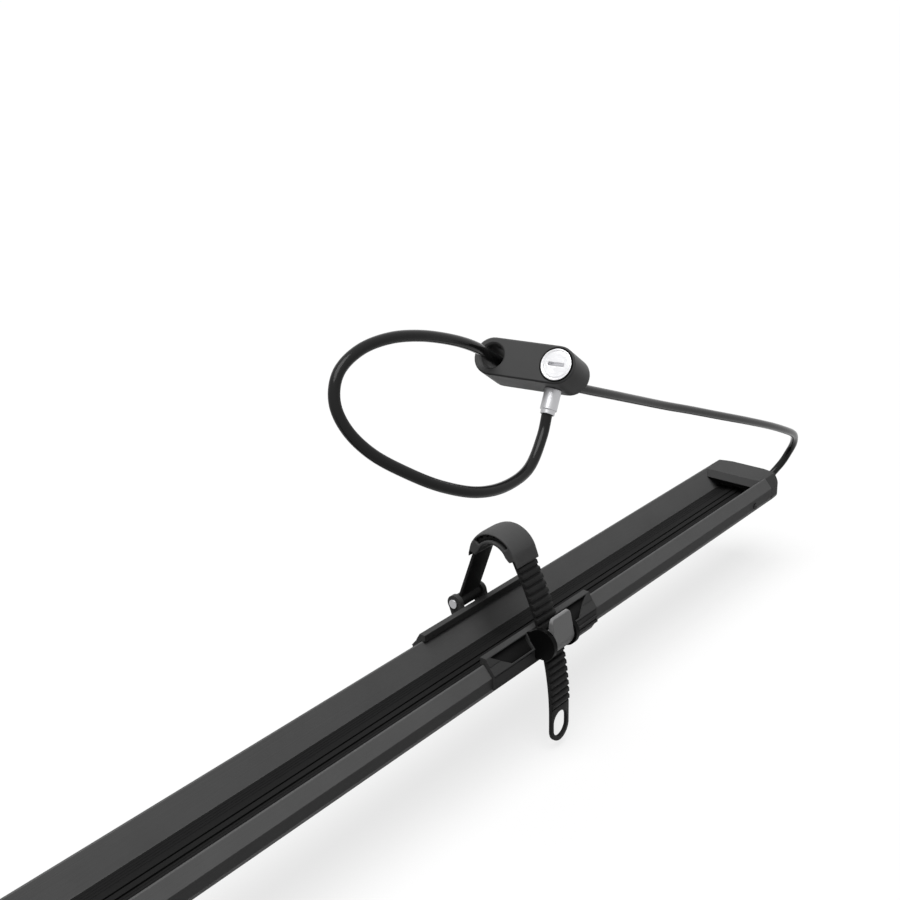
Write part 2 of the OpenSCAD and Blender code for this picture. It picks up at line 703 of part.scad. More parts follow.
module release_lever() {
    half = strap_w / 2;
    hub = 2.9;
    tip = strap_point(arch_near + side_len + bend_len * 0.36, strap_t / 2 + tooth_h + slide_gap);
    mid = lever_at[1] + 1.2;
    tall = 24;
    corner = 4.6;
    color("#737376") difference() {
        union() {
            intersection() {
                along(strap_x - half, strap_x + half) polygon([lever_at + [0.3, 12.2], lever_at + [-1,
                    12.6],
                    lever_at + [-2, 11.8], lever_at + [-5.4, -4.5], lever_at + [-5.2, -7],
                        lever_at + [-3.9, -10.6],
                    lever_at + [-2.2, -10.8], lever_at + [-0.6, -8], lever_at + [1.2, -2.6]]);
                across(3 * tail_y, 0) translate([strap_x, mid]) rounded(2 * half, tall, corner);
            }
            translate([0, lever_at[0], lever_at[1]]) rod_x(strap_x - half, strap_x + half, hub);
            along(strap_x - half, strap_x + half) polygon([lever_at + [0, hub], lever_at + [-hub, 0],
                tip + [-1.6, -0.4], tip]);
        }
        translate([0, lever_at[0], lever_at[1]]) {
            rod_x(strap_x - cradle_half, strap_x + cradle_half, lever_pin_r + run_gap);
            rod_x(strap_x - spring_half, strap_x + spring_half, lever_pin_r + 2 * spring_wire + 0.7);
        }
    }
}

// Fork head
axle_z = top_z + axle_up;
deck_x = [axle_x - deck_front, axle_x + deck_back];
deck_z = top_z + seat_gap;
deck_t = 5;
boss_half = fork_w / 2 - 3;
stub_end = fork_w / 2 + fork_end_t - 1;
face_end = fork_w / 2 + fork_end_t;
cam_throw = 1;
cam_gap = 0.5;
cam_r = 8;
saddle_t = 6.5;
pin_y = -(face_end + saddle_t + cam_gap + cam_r + cam_throw);
cam_half = 9;
cam_pin_r = 2.2;
rod_end_r = 3;
lock_x = lever_len * 0.55;
lever_lock_r = 6;
bolt_head_r = 6.5;

module axle_frame() {
    translate([axle_x, 0, axle_z]) children();
}
module cam_frame() {
    translate([axle_x, pin_y, axle_z]) children();
}
module head_casting() {
    foot = 26;
    waist = 19;
    neck = v_half(top_z - 1) - seat_gap;
    leg_front = deck_front - 19;
    leg_back = deck_back - 18;
    leg_in = 2;
    window = [18, 19, 8];
    rise = axle_up - deck_t;
    z0 = deck_z + deck_t;
    color("#2e2e31") difference() {
        union() {
            along(deck_x[0], deck_x[1]) {
                polygon(v_outline(floor_z + rib_h + seat_gap, top_z, seat_gap));
                translate([-rail_half - 2, deck_z]) square([2 * rail_half + 4, deck_t]);
                translate([-neck, top_z - 1]) square([2 * neck, 2]);
            }
            intersection() {
                across(-boss_half, boss_half) difference() {
                    polygon([[axle_x - leg_front, z0 - 1], [axle_x + leg_back, z0 - 1],
                        [axle_x + leg_back - leg_in, z0 + 6], [axle_x + boss_r - 1, axle_z + 4],
                        [axle_x + 1 - boss_r, axle_z + 4], [axle_x - leg_front + leg_in, z0 + 6]]);
                    polygon([[axle_x - leg_front + window[0], z0 + 10],
                        [axle_x + leg_back - window[1], z0 + 10], [axle_x + 9, axle_z - boss_r - window[2]],
                        [axle_x - 6, axle_z - boss_r - window[2]]]);
                }
                along(deck_x[0], deck_x[1]) difference() {
                    for (m = [0, 1]) mirror([m, 0]) polygon([[0, z0 - 1], [foot, z0 - 1], [foot, z0 + 4],
                        [waist, z0 + rise * 0.35], [boss_half, z0 + rise * 0.75], [boss_half,
                            axle_z + boss_r],
                        [0, axle_z + boss_r]]);
                    for (m = [0, 1]) mirror([m, 0]) polygon([[8, axle_z - boss_r - 6], [8,
                        axle_z - boss_r + 4],
                        [boss_half - 10, axle_z - boss_r + 4]]);
                }
            }
            axle_frame() rod_y(-boss_half, boss_half, boss_r);
        }
        axle_frame() rod_y(-fork_w, fork_w, stub_r + seat_gap);
        for (x = head_bolt_x) translate([x, 0, 0]) cylinder(r = head_bolt_r + seat_gap, h = z0 + 1);
    }
}
module head_bolts() {
    z0 = deck_z + deck_t;
    head_h = 6;
    color("#8d8d90") for (x = head_bolt_x) translate([x, 0, 0]) difference() {
        union() {
            translate([0, 0, channel_z + lip_t]) cylinder(r = head_bolt_r, h = z0 - channel_z - lip_t + 1);
            translate([0, 0, z0 + seat_gap / 2]) cylinder(r = bolt_head_r, h = head_h);
        }
        translate([0, 0, z0 + head_h / 2]) cylinder(r = head_bolt_r * 0.9, h = head_h, $fn = 6);
    }
}
module head_nut_plates() {
    half = 10;
    t = roof_z - channel_z - lip_t - 2 * seat_gap;
    color("#8d8d90") for (x = head_bolt_x) translate([x, 0, channel_z + lip_t + seat_gap]) difference() {
        translate([-half, -half, 0]) cube([2 * half, 2 * half, t]);
        translate([0, 0, -1]) cylinder(r = head_bolt_r + run_gap, h = t + 2);
    }
}
module axle_tube() {
    color("#a8a8ab") axle_frame() difference() {
        rod_y(-stub_end, stub_end, stub_r);
        rod_y(-fork_w, fork_w, skewer_r + run_gap);
    }
}
module fork_plates() {
    plate_r = boss_r - 1;
    color("#8d8d90") axle_frame() for (m = [0, 1]) mirror([0, m, 0]) difference() {
        rod_y(boss_half + seat_gap / 2, fork_w / 2, plate_r);
        rod_y(boss_half - 1, fork_w / 2 + 1, stub_r + seat_gap);
        for (r = [7.5, 10.5]) translate([0, fork_w / 2 - 0.5, 0]) difference() {
            rod_y(0, 1, r + 0.7);
            rod_y(-1, 2, r);
        }
    }
}
module cam_saddle() {
    hollow_r = 14;
    saddle_r = 10;
    neck = stub_end + seat_gap;
    color("#3a3a3d") axle_frame() difference() {
        union() {
            rod_y(-face_end - saddle_t - 2.2, -face_end, saddle_r);
            rod_y(-face_end - 1, -neck, stub_r);
        }
        rod_y(-fork_w, 0, skewer_r + run_gap);
        translate([0, -face_end - saddle_t - hollow_r, -2 * saddle_r]) cylinder(r = hollow_r,
            h = 4 * saddle_r);
    }
}
module skewer_rod() {
    tip = 5.5;
    color("#b4b4b7") difference() {
        union() {
            axle_frame() rod_y(pin_y, face_end + 14, skewer_r);
            cam_frame() rod_y(-tip, tip, rod_end_r);
        }
        cam_frame() translate([0, 0, -cam_half]) cylinder(r = cam_pin_r + pin_gap, h = 2 * cam_half);
    }
}
module cam_pin() {
    color("#a0a0a3") cam_frame() translate([0, 0, -cam_half]) cylinder(r = cam_pin_r, h = 2 * cam_half);
}
module fork_lever() {
    slot = rod_end_r + 0.4;
    swing_r = 6.4;
    color("#1c1c1f") cam_frame() difference() {
        union() {
            translate([0, cam_throw, -cam_half]) cylinder(r = cam_r, h = 2 * cam_half);
            translate([0, 0, -cam_half]) linear_extrude(2 * cam_half)
                polygon([[0, -cam_r + cam_throw], [lock_x - 12, -8.5], [lock_x + 10, -9],
                    [lever_len - 12, -13], [lever_len - 3, -15.5],
                    [lever_len, -13.5], [lever_len - 2, -10], [lock_x + 14, -1.5], [lock_x, 0.5],
                        [lock_x - 14, 0.5], [6, 4.5]]);
        }
        translate([0, 0, -slot]) linear_extrude(2 * slot) union() {
            circle(swing_r);
            translate([-2 * cam_r, -slot]) square([2 * cam_r + slot, 4 * cam_r]);
        }
        translate([0, 0, -cam_half - 1]) cylinder(r = cam_pin_r + run_gap, h = 2 * cam_half + 2);
        translate([lock_x, 0, 0]) rod_y(-20, -2, lever_lock_r + run_gap);
    }
}
module lever_lock() {
    color("#c6c6c9") cam_frame() translate([lock_x, 0, 0]) difference() {
        rod_y(-9.4, -2.2, lever_lock_r);
        translate([-3.5, -12, -0.6]) cube([7, 4, 1.2]);
    }
}
module thumb_nut() {
    grip_r = 9.5;
    lobe_r = 2.4;
    lobes = 6;
    face = face_end + slide_gap;
    len = 10;
    color("#1c1c1f") axle_frame() difference() {
        union() {
            rod_y(face, face + len, grip_r);
            for (i = [0 : lobes - 1]) rotate([0, 360 * i / lobes, 0]) translate([grip_r, 0, 0])
                rod_y(face + 1, face + len - 1, lobe_r);
        }
        rod_y(0, fork_w, skewer_r + run_gap);
    }
}

// Roof bar clamps: cx is the bar's middle and g the clearance to the tray
bar_half = bar_w / 2;
hook_x = -bar_half - 1;
stud_past = 55;
stud_x = [8, bar_half + stud_past];
stud_z = 11;
jaw_x = bar_half + 2.2;
jaw_t = 10;
bolt_at = [-26, -6];
bolt_r = 3;
nut_r = 5.8;
nut_h = 5;
guide_half = 7;
guide_z = [16.8, 19.8];
guide_x = 16;
hook_low = -bar_h - 5;
base_end = bar_half - 2;

module clamp_base(cx, g) {
    z1 = channel_z - g;
    out = hook_x - hook_t;
    nut_room = pad_t + nut_h + 1;
    color("#28282b") translate([cx, 0, 0]) difference() {
        across(-clamp_w / 2, clamp_w / 2) polygon([[out, hook_low + 4], [out + 4, hook_low], [hook_x + 6,
            hook_low],
            [hook_x + 6, -bar_h - 1], [hook_x, -bar_h - 1], [hook_x, pad_t], [base_end, pad_t],
                [base_end, z1 - 3],
            [base_end - 4, z1], [out + 9, z1], [out, z1 - 12]]);
        translate([0, 0, stud_z]) rod_x(stud_x[0] - seat_gap, bar_w, stud_r + seat_gap / 2);
        for (x = bolt_at) translate([x, 0, 0]) {
            cylinder(r = bolt_r + seat_gap, h = channel_z + 1);
            cylinder(r = nut_r + 1, h = nut_room);
        }
        translate([guide_x - 1, -guide_half - slide_gap, guide_z[0] - slide_gap])
            cube([bar_w, 2 * (guide_half + slide_gap), guide_z[1] - guide_z[0] + 2 * slide_gap]);
    }
}
module bar_pad(cx) {
    skin = 0.9;
    x0 = hook_x + seat_gap;
    color("#141416") translate([cx, 0, 0]) across(-clamp_w / 2 + 1, clamp_w / 2 - 1) polygon([[x0, -bar_h],
        [x0 + skin, -bar_h], [x0 + skin, 0], [base_end, 0], [base_end, pad_t - seat_gap / 2], [x0,
            pad_t - seat_gap / 2]]);
}
module t_bolts(cx, g) {
    head = [8, 22, 3.4];
    z0 = channel_z + lip_t + g;
    color("#8d8d90") for (x = bolt_at) translate([cx + x, 0, 0]) {
        translate([-head[0] / 2, -head[1] / 2, z0]) cube(head);
        translate([0, 0, pad_t + 0.5]) cylinder(r = bolt_r, h = z0 + 1 - pad_t - 0.5);
    }
}
module t_nuts(cx) {
    color("#9a9a9d") for (x = bolt_at) translate([cx + x, 0, pad_t + 1 - seat_gap / 2]) difference() {
        cylinder(r = nut_r, h = nut_h, $fn = 6);
        translate([0, 0, -1]) cylinder(r = bolt_r + pin_gap, h = nut_h + 2);
    }
}
module clamp_stud(cx) {
    color("#9a9a9d") translate([cx, 0, stud_z]) rod_x(stud_x[0], stud_x[1], stud_r);
}
module jaw(cx) {
    top = guide_z[1];
    color("#28282b") translate([cx, 0, 0]) difference() {
        union() {
            across(-clamp_w / 2, clamp_w / 2) polygon([[jaw_x, -bar_h - 1], [jaw_x - 7, -bar_h - 1],
                [jaw_x - 7, hook_low],
                [jaw_x + jaw_t - 4, hook_low], [jaw_x + jaw_t, hook_low + 4], [jaw_x + jaw_t, top - 4],
                    [jaw_x + jaw_t - 4, top],
                [jaw_x, top]]);
            translate([guide_x, -guide_half, guide_z[0]]) cube([jaw_x - guide_x + 1, 2 * guide_half,
                guide_z[1] - guide_z[0]]);
        }
        translate([0, 0, stud_z]) rod_x(0, bar_w, stud_r + run_gap);
    }
}
module jaw_liner(cx) {
    x1 = jaw_x - seat_gap / 2;
    color("#141416") translate([cx, 0, 0]) across(-clamp_w / 2 + 1, clamp_w / 2 - 1)
        polygon([[bar_half + 0.2, -bar_h - 1 + seat_gap], [x1, -bar_h - 1 + seat_gap], [x1, 3],
            [bar_half + 0.2, 3]]);
}
module knob(cx) {
    core_r = knob_r - 4;
    lobe_r = 4;
    x0 = jaw_x + jaw_t + slide_gap;
    collar = 5;
    grip = 16;
    color("#1c1c1f") translate([cx, 0, stud_z]) difference() {
        union() {
            rod_x(x0, x0 + collar + grip, core_r);
            for (i = [0 : knob_lobes - 1]) rotate([360 * i / knob_lobes, 0, 0]) translate([0, 0, core_r])
                rod_x(x0 + collar, x0 + collar + grip - 1, lobe_r);
        }
        rod_x(0, bar_w + stud_past, stud_r + run_gap);
    }
}
front_gap = seat_gap;
rear_gap = slide_gap;

tray_rail();
front_end_cap();
rear_end_cap();
end_cap_screws();
cable_gland();
cable_anchor();
lock_cable();
cable_plug();
lock_housing();
lock_bezel();
lock_barrel();
strap_cradle();
buckle_frame();
wheel_strap();
rim_pad();
strap_anchor_pin();
lever_pin();
lever_spring();
release_lever();
head_casting();
head_bolts();
head_nut_plates();
axle_tube();
fork_plates();
cam_saddle();
skewer_rod();
cam_pin();
fork_lever();
lever_lock();
thumb_nut();
clamp_base(0, front_gap);  // front_clamp_base
bar_pad(0);  // front_bar_pad
t_bolts(0, front_gap);  // front_t_bolts
t_nuts(0);  // front_t_nuts
clamp_stud(0);  // front_clamp_stud
jaw(0);  // front_jaw
jaw_liner(0);  // front_jaw_liner
knob(0);  // front_knob
clamp_base(clamp_gap, rear_gap);  // rear_clamp_base
bar_pad(clamp_gap);  // rear_bar_pad
t_bolts(clamp_gap, rear_gap);  // rear_t_bolts
t_nuts(clamp_gap);  // rear_t_nuts
clamp_stud(clamp_gap);  // rear_clamp_stud
jaw(clamp_gap);  // rear_jaw
jaw_liner(clamp_gap);  // rear_jaw_liner
knob(clamp_gap);  // rear_knob
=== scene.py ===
"""Looks of the roof mounted bike carrier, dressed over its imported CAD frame.

Lengths are in metres, in the part's own frame: +X runs rearward along the tray and +Z is up.
"""

import logging
import math
from dataclasses import dataclass
from enum import Enum

import bmesh
import bpy
from mathutils import Matrix, Vector


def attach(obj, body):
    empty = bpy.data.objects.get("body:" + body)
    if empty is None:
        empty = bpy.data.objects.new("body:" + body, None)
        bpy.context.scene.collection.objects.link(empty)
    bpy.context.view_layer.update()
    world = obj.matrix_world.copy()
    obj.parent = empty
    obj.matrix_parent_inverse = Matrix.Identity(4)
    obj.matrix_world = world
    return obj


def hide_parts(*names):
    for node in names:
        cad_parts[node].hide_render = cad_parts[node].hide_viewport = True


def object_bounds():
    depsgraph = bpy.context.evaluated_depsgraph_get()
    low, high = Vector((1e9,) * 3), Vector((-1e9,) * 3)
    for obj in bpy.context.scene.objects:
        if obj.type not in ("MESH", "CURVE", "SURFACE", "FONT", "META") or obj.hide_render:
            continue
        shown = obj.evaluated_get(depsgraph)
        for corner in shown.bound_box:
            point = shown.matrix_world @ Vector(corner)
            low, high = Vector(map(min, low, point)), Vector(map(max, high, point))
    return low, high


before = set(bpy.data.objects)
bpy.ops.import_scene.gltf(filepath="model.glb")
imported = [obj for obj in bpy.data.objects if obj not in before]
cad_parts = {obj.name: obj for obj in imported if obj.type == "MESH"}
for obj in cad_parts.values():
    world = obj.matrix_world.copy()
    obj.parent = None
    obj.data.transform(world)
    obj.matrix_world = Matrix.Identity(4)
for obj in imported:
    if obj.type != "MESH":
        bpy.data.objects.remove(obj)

CAD_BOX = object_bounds()
LOG = logging.getLogger("carrier")
Ring = list[Vector]
Shell = tuple[list[Vector], list[tuple[int, ...]]]
WHITE = (1.0, 1.0, 1.0, 1.0)
MERGE_REACH = 1e-7
WELD_REACH = 2e-6
SEAL_REACH = 1e-6
FLAT_ANGLE = math.radians(0.6)
EDGE_ANGLE = math.radians(28.0)
PATCH_SCALE = 28.0
SCUFF_SCALE = 420.0
ROUGH_SPREAD = 0.04
FINE_SPREAD = 0.05


def linear(level: float) -> float:
    """Turn a display level into a linear one.

    Args:
        level: Display level, from 0 to 255.

    Returns:
        The linear level, from 0 to 1.
    """
    share = level / 255.0
    return share / 12.92 if share <= 0.04045 else ((share + 0.055) / 1.055) ** 2.4


def tint(levels: tuple[float, float, float], gain: float = 1.0) -> tuple[float, float, float, float]:
    """Make a shader colour from display levels.

    Args:
        levels: Red, green and blue display levels, from 0 to 255.
        gain: Factor on the linear colour.

    Returns:
        Red, green, blue and alpha, linear.
    """
    return tuple(min(1.0, linear(v) * gain) for v in levels) + (1.0,)


class Board:
    """Node tree of one material, with short calls to lay nodes out on it."""

    def __init__(self, tree: bpy.types.NodeTree) -> None:
        """Keep the tree that the nodes go on.

        Args:
            tree: Node tree of a material or a world.
        """
        self.tree = tree

    def add(self, kind: str, sockets: dict | None = None, **settings: object) -> bpy.types.Node:
        """Add a node and join or fill its sockets.

        Args:
            kind: Blender's name of the node type.
            sockets: Input names or numbers, each with an output socket or a plain value.
            **settings: Values for the node's own settings.

        Returns:
            The new node.
        """
        node = self.tree.nodes.new(kind)
        for key, value in settings.items():
            setattr(node, key, value)
        for key, value in (sockets or {}).items():
            self.fill(node.inputs[key], value)
        return node

    def fill(self, socket: bpy.types.NodeSocket, value: object) -> None:
        """Join a socket to an output, or set its plain value.

        Args:
            socket: Input socket.
            value: Output socket to join, or a plain value.
        """
        if isinstance(value, bpy.types.NodeSocket):
            self.tree.links.new(value, socket)
        else:
            socket.default_value = value

    def noise(self, place: bpy.types.NodeSocket, scale: float, detail: float) -> bpy.types.NodeSocket:
        """Add a noise texture.

        Args:
            place: Coordinates.
            scale: Grains per metre.
            detail: Octaves of finer noise.

        Returns:
            The noise, about 0 to 1.
        """
        sockets = {"Vector": place, "Scale": scale, "Detail": detail, "Roughness": 0.6}
        return self.add("ShaderNodeTexNoise", sockets).outputs[0]

    def spread(self, value: bpy.types.NodeSocket, low: float, high: float, to_low: float,
               to_high: float) -> bpy.types.NodeSocket:
        """Map a value from one range to another, clamped.

        Args:
            value: Value to map.
            low: Start of the first range.
            high: End of the first range.
            to_low: Result at low.
            to_high: Result at high.

        Returns:
            The mapped value.
        """
        sockets = {"Value": value, "From Min": low, "From Max": high, "To Min": to_low, "To Max": to_high}
        return self.add("ShaderNodeMapRange", sockets).outputs[0]

    def sum(self, kind: str, first: object, second: object) -> bpy.types.NodeSocket:
        """Work out one step of arithmetic.

        Args:
            kind: Blender's name of the step, such as MULTIPLY.
            first: First value or socket.
            second: Second value or socket.

        Returns:
            The result.
        """
        return self.add("ShaderNodeMath", {0: first, 1: second}, operation=kind).outputs[0]

    def vector(self, kind: str, first: object, second: object) -> bpy.types.NodeOutputs:
        """Work out one step of arithmetic with vectors.

        Args:
            kind: Blender's name of the step, such as DOT_PRODUCT.
            first: First vector or socket.
            second: Second vector or socket.

        Returns:
            The outputs of the step.
        """
        return self.add("ShaderNodeVectorMath", {0: first, 1: second}, operation=kind).outputs

    def mix(self, share: bpy.types.NodeSocket, first: object, second: object) -> bpy.types.NodeSocket:
        """Blend two colours.

        Args:
            share: Share of the second colour.
            first: First colour or socket.
            second: Second colour or socket.

        Returns:
            The blended colour.
        """
        node = self.add("ShaderNodeMix", {0: share, 6: first, 7: second}, data_type="RGBA")
        return node.outputs[2]


class Grain(Enum):
    """Fine detail of a surface: how far one grain runs along X, Y and Z, or 0 for rings round a lathe."""

    DRAWN = (220.0, 1.0, 1.0)
    MOULDED = (1.0, 1.0, 1.0)
    RUBBER = (1.3, 1.0, 1.6)
    PLATED = (2.0, 2.0, 2.0)
    TURNED = (0.0, 0.0, 0.0)


@dataclass(frozen=True)
class Lathe:
    """Axis that a turned piece was cut round."""

    centre: tuple[float, float, float]
    axis: tuple[float, float, float]


@dataclass(frozen=True)
class Finish:
    """Surface of one kind of piece, as a procedural material."""

    name: str
    slot: str
    levels: tuple[float, float, float]
    rough: float
    grain: Grain
    size: float
    depth: float
    metal: float = 0.0
    wear: float = 0.3
    worn: tuple[float, float, float] = (118.0, 118.0, 120.0)
    vary: float = 0.14
    sheen: float = 0.0
    specular: float = 0.5
    edge: float = 0.0004
    lathe: Lathe | None = None

    def fine(self, board: Board, place: bpy.types.NodeSocket) -> bpy.types.NodeSocket:
        """Lay out the fine detail.

        Args:
            board: Node tree of the material.
            place: Object coordinates, in metres.

        Returns:
            The detail's height, about 0 to 1.
        """
        if self.lathe is None:
            run = tuple(1.0 / (self.size * share) for share in self.grain.value)
            place = board.add("ShaderNodeMapping", {"Vector": place, "Scale": run}).outputs[0]
            return board.noise(place, 1.0, 3.0)
        arm = board.vector("SUBTRACT", place, self.lathe.centre)[0]
        along = board.vector("DOT_PRODUCT", arm, self.lathe.axis)["Value"]
        across = board.vector("CROSS_PRODUCT", arm, self.lathe.axis)[0]
        reach = board.vector("LENGTH", across, (0.0, 0.0, 0.0))["Value"]
        rings = board.add("ShaderNodeCombineXYZ", {0: reach, 1: along}).outputs[0]
        return board.noise(rings, 1.0 / self.size, 2.0)

    def material(self) -> bpy.types.Material:
        """Build the finish once.

        Returns:
            The material that every piece with this finish shares.
        """
        label = f"{self.name}_finish"
        made = bpy.data.materials.get(label)
        if made is not None:
            return made
        made = bpy.data.materials.new(label)
        made.use_nodes = True
        board = Board(made.node_tree)
        place = board.add("ShaderNodeTexCoord").outputs["Object"]
        fine = self.fine(board, place)
        patch = board.noise(place, PATCH_SCALE, 4.0)
        scuff = board.spread(board.noise(place, SCUFF_SCALE, 3.0), 0.42, 0.62, 0.0, self.wear)
        round_normal = board.add("ShaderNodeBevel", {"Radius": self.edge}, samples=4).outputs[0]
        flat_normal = board.add("ShaderNodeNewGeometry").outputs["Normal"]
        level = board.vector("DOT_PRODUCT", round_normal, flat_normal)["Value"]
        rim = board.spread(level, 0.995, 0.88, 0.0, 1.0)
        worn = board.sum("MULTIPLY", rim, scuff)
        base = board.mix(patch, tint(self.levels, 1.0 - self.vary), tint(self.levels, 1.0 + self.vary))
        colour = board.mix(worn, base, tint(self.worn))
        sheet = board.sum("ADD", board.spread(fine, 0.2, 0.8, -FINE_SPREAD, FINE_SPREAD),
                          board.spread(patch, 0.3, 0.7, self.rough - ROUGH_SPREAD,
                                       self.rough + ROUGH_SPREAD))
        bump = board.add("ShaderNodeBump", {"Strength": self.depth, "Distance": 0.5 * self.size,
                                            "Height": fine, "Normal": round_normal}).outputs[0]
        shader = made.node_tree.nodes["Principled BSDF"]
        values = {"Base Color": colour, "Roughness": sheet, "Normal": bump, "Metallic": self.metal,
                  "Sheen Weight": self.sheen, "Specular IOR Level": self.specular}
        for key, value in values.items():
            board.fill(shader.inputs[key], value)
        return made


LOCK_AT = (0.917, -0.094, 0.262)
LOCK_AXIS = (0.82593, 0.14563, -0.54464)
LOCK_UP = (0.53636, 0.09457, 0.83867)
PLUG_AT = (0.92726, -0.08818, 0.24605)
AXLE = Lathe((-0.008, 0.0, 0.128), (0.0, 1.0, 0.0))
ANODISED = Finish("anodised_tray", "anodised", (92, 92, 92), 0.45, Grain.DRAWN, 0.0007, 0.25, wear=0.4,
                  worn=(140, 140, 140), specular=0.04)
CAP = Finish("cap_plastic", "cap_plastic", (60, 60, 60), 0.55, Grain.MOULDED, 0.0006, 0.3, specular=0.1)
BLACK = Finish("black_plastic", "black_plastic", (14, 14, 14), 0.42, Grain.MOULDED, 0.0006, 0.25, wear=0.15,
               worn=(56, 56, 56), specular=0.04)
CRADLE = Finish("cradle_plastic", "cradle_plastic", (68, 68, 68), 0.42, Grain.MOULDED, 0.0005, 0.2,
                worn=(96, 96, 96), specular=0.04)
STRAP = Finish("strap_rubber", "strap_rubber", (34, 34, 34), 0.5, Grain.RUBBER, 0.0008, 0.3, sheen=0.02,
               wear=0.2, worn=(80, 80, 80), specular=0.08)
PAD = Finish("pad_rubber", "pad_rubber", (80, 80, 80), 0.6, Grain.RUBBER, 0.0007, 0.25, sheen=0.03,
             wear=0.12, specular=0.1)
LEVER = Finish("lever_plastic", "lever_plastic", (138, 138, 138), 0.42, Grain.MOULDED, 0.0005, 0.2,
               worn=(170, 170, 170), specular=0.2)
ZINC = Finish("zinc_steel", "zinc_steel", (168, 168, 170), 0.36, Grain.PLATED, 0.0016, 0.15, metal=1.0,
              worn=(205, 205, 205))
DARK_SCREW = Finish("blackened_steel", "zinc_steel", (20, 20, 21), 0.4, Grain.PLATED, 0.0012, 0.15,
                    metal=0.3, worn=(90, 90, 90), specular=0.1)
BARREL = Finish("barrel_metal", "bright_metal", (226, 226, 228), 0.26, Grain.TURNED, 0.0003, 0.22,
                metal=0.85, worn=(240, 240, 240), lathe=Lathe(LOCK_AT, LOCK_AXIS))
LEVER_KEY = Finish("key_metal", "bright_metal", (214, 214, 216), 0.28, Grain.TURNED, 0.0003, 0.22, metal=0.9,
                   worn=(240, 240, 240), lathe=Lathe((0.0349, -0.08, 0.128), (0.0, 1.0, 0.0)))
FERRULE = Finish("ferrule_metal", "bright_metal", (184, 184, 186), 0.38, Grain.TURNED, 0.00035, 0.25,
                 metal=1.0, worn=(230, 230, 230), lathe=Lathe(PLUG_AT, LOCK_UP))
LATHED = Finish("lathed_steel", "zinc_steel", (172, 172, 174), 0.32, Grain.TURNED, 0.0004, 0.25, metal=1.0,
                worn=(215, 215, 215), lathe=AXLE)
SHELL = Finish("lock_shell", "lock_shell", (77, 77, 77), 0.42, Grain.MOULDED, 0.0005, 0.18, wear=0.2,
               worn=(96, 96, 96), specular=0.08)
COVER = Finish("cable_cover", "cable_cover", (34, 34, 34), 0.13, Grain.MOULDED, 0.003, 0.05, wear=0.0,
               specular=0.14)
HEAD = Finish("head_plastic", "head_plastic", (52, 52, 52), 0.48, Grain.MOULDED, 0.0009, 0.35, specular=0.12)
FOOT = Finish("pad_black", "pad_black", (24, 24, 24), 0.66, Grain.RUBBER, 0.0008, 0.4, sheen=0.03, wear=0.1,
              specular=0.1)
# Near-black rubber colour for painted shade: the channel's floor sheet and the cradle's pocket panels carry
# it where those recesses lie in shade.
PAINTED_SHADE = Finish("painted_shade_rubber", "pad_black", (27, 27, 27), 0.6, Grain.RUBBER, 0.0008, 0.35, wear=0.1,
               worn=(50, 50, 50), specular=0.06)


def dress(piece: bpy.types.Object, finish: Finish) -> bpy.types.Object:
    """Give a piece its finish.

    Args:
        piece: Mesh or curve object.
        finish: Finish to take.

    Returns:
        The same piece.
    """
    piece.data.materials.clear()
    piece.data.materials.append(finish.material())
    return piece


def soften(node: str, finish: Finish, width: float, segments: int = 2) -> bpy.types.Object:
    """Dress a CAD node and round its edges with modifiers, so that its mesh stays as it is.

    Args:
        node: Name of the CAD node.
        finish: Finish to take.
        width: Width of the rounded edges.
        segments: Faces across a rounded edge.

    Returns:
        The node's object.
    """
    piece = dress(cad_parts[node], finish)
    if "custom_normal" in piece.data.attributes:
        piece.data.attributes.remove(piece.data.attributes["custom_normal"])
    piece.data.polygons.foreach_set("use_smooth", [True] * len(piece.data.polygons))
    weld = piece.modifiers.new("weld", "WELD")
    weld.merge_threshold = WELD_REACH
    plane = piece.modifiers.new("flat_faces", "DECIMATE")
    plane.decimate_type = "DISSOLVE"
    plane.angle_limit = FLAT_ANGLE
    bevel = piece.modifiers.new("round_edges", "BEVEL")
    bevel.width = width
    bevel.segments = segments
    bevel.limit_method = "ANGLE"
    bevel.angle_limit = EDGE_ANGLE
    bevel.use_clamp_overlap = True
    seal = piece.modifiers.new("seal", "WELD")
    seal.merge_threshold = SEAL_REACH
    even = piece.modifiers.new("even_normals", "WEIGHTED_NORMAL")
    even.keep_sharp = False
    LOG.info("%s keeps its CAD shape, edges rounded by %.2f mm", node, width * 1000)
    return piece


def skin(rings: list[Ring]) -> Shell:
    """Join rings of points to one closed shell.

    Args:
        rings: Rings with the same number of points, in order along the piece.

    Returns:
        The points and the faces.
    """
    count = len(rings[0])
    points = [p for ring in rings for p in ring]
    faces: list[tuple[int, ...]] = []
    for i in range(len(rings) - 1):
        low, high = i * count, (i + 1) * count
        for k in range(count):
            after = (k + 1) % count
            faces.append((low + k, low + after, high + after, high + k))
    faces.append(tuple(reversed(range(count))))
    faces.append(tuple(range(len(points) - count, len(points))))
    return points, faces


def new_piece(name: str, shells: list[Shell]) -> bpy.types.Object:
    """Make one mesh object from closed shells.

    Args:
        name: Name of the piece.
        shells: Points and faces of each shell.

    Returns:
        The object, with its faces turned outward.
    """
    build = bmesh.new()
    for points, faces in shells:
        corners = [build.verts.new(p) for p in points]
        for face in faces:
            build.faces.new([corners[i] for i in face])
    bmesh.ops.remove_doubles(build, verts=build.verts, dist=MERGE_REACH)
    bmesh.ops.recalc_face_normals(build, faces=build.faces)
    mesh = bpy.data.meshes.new(name)
    build.to_mesh(mesh)
    build.free()
    piece = bpy.data.objects.new(name, mesh)
    bpy.context.scene.collection.objects.link(piece)
    return piece


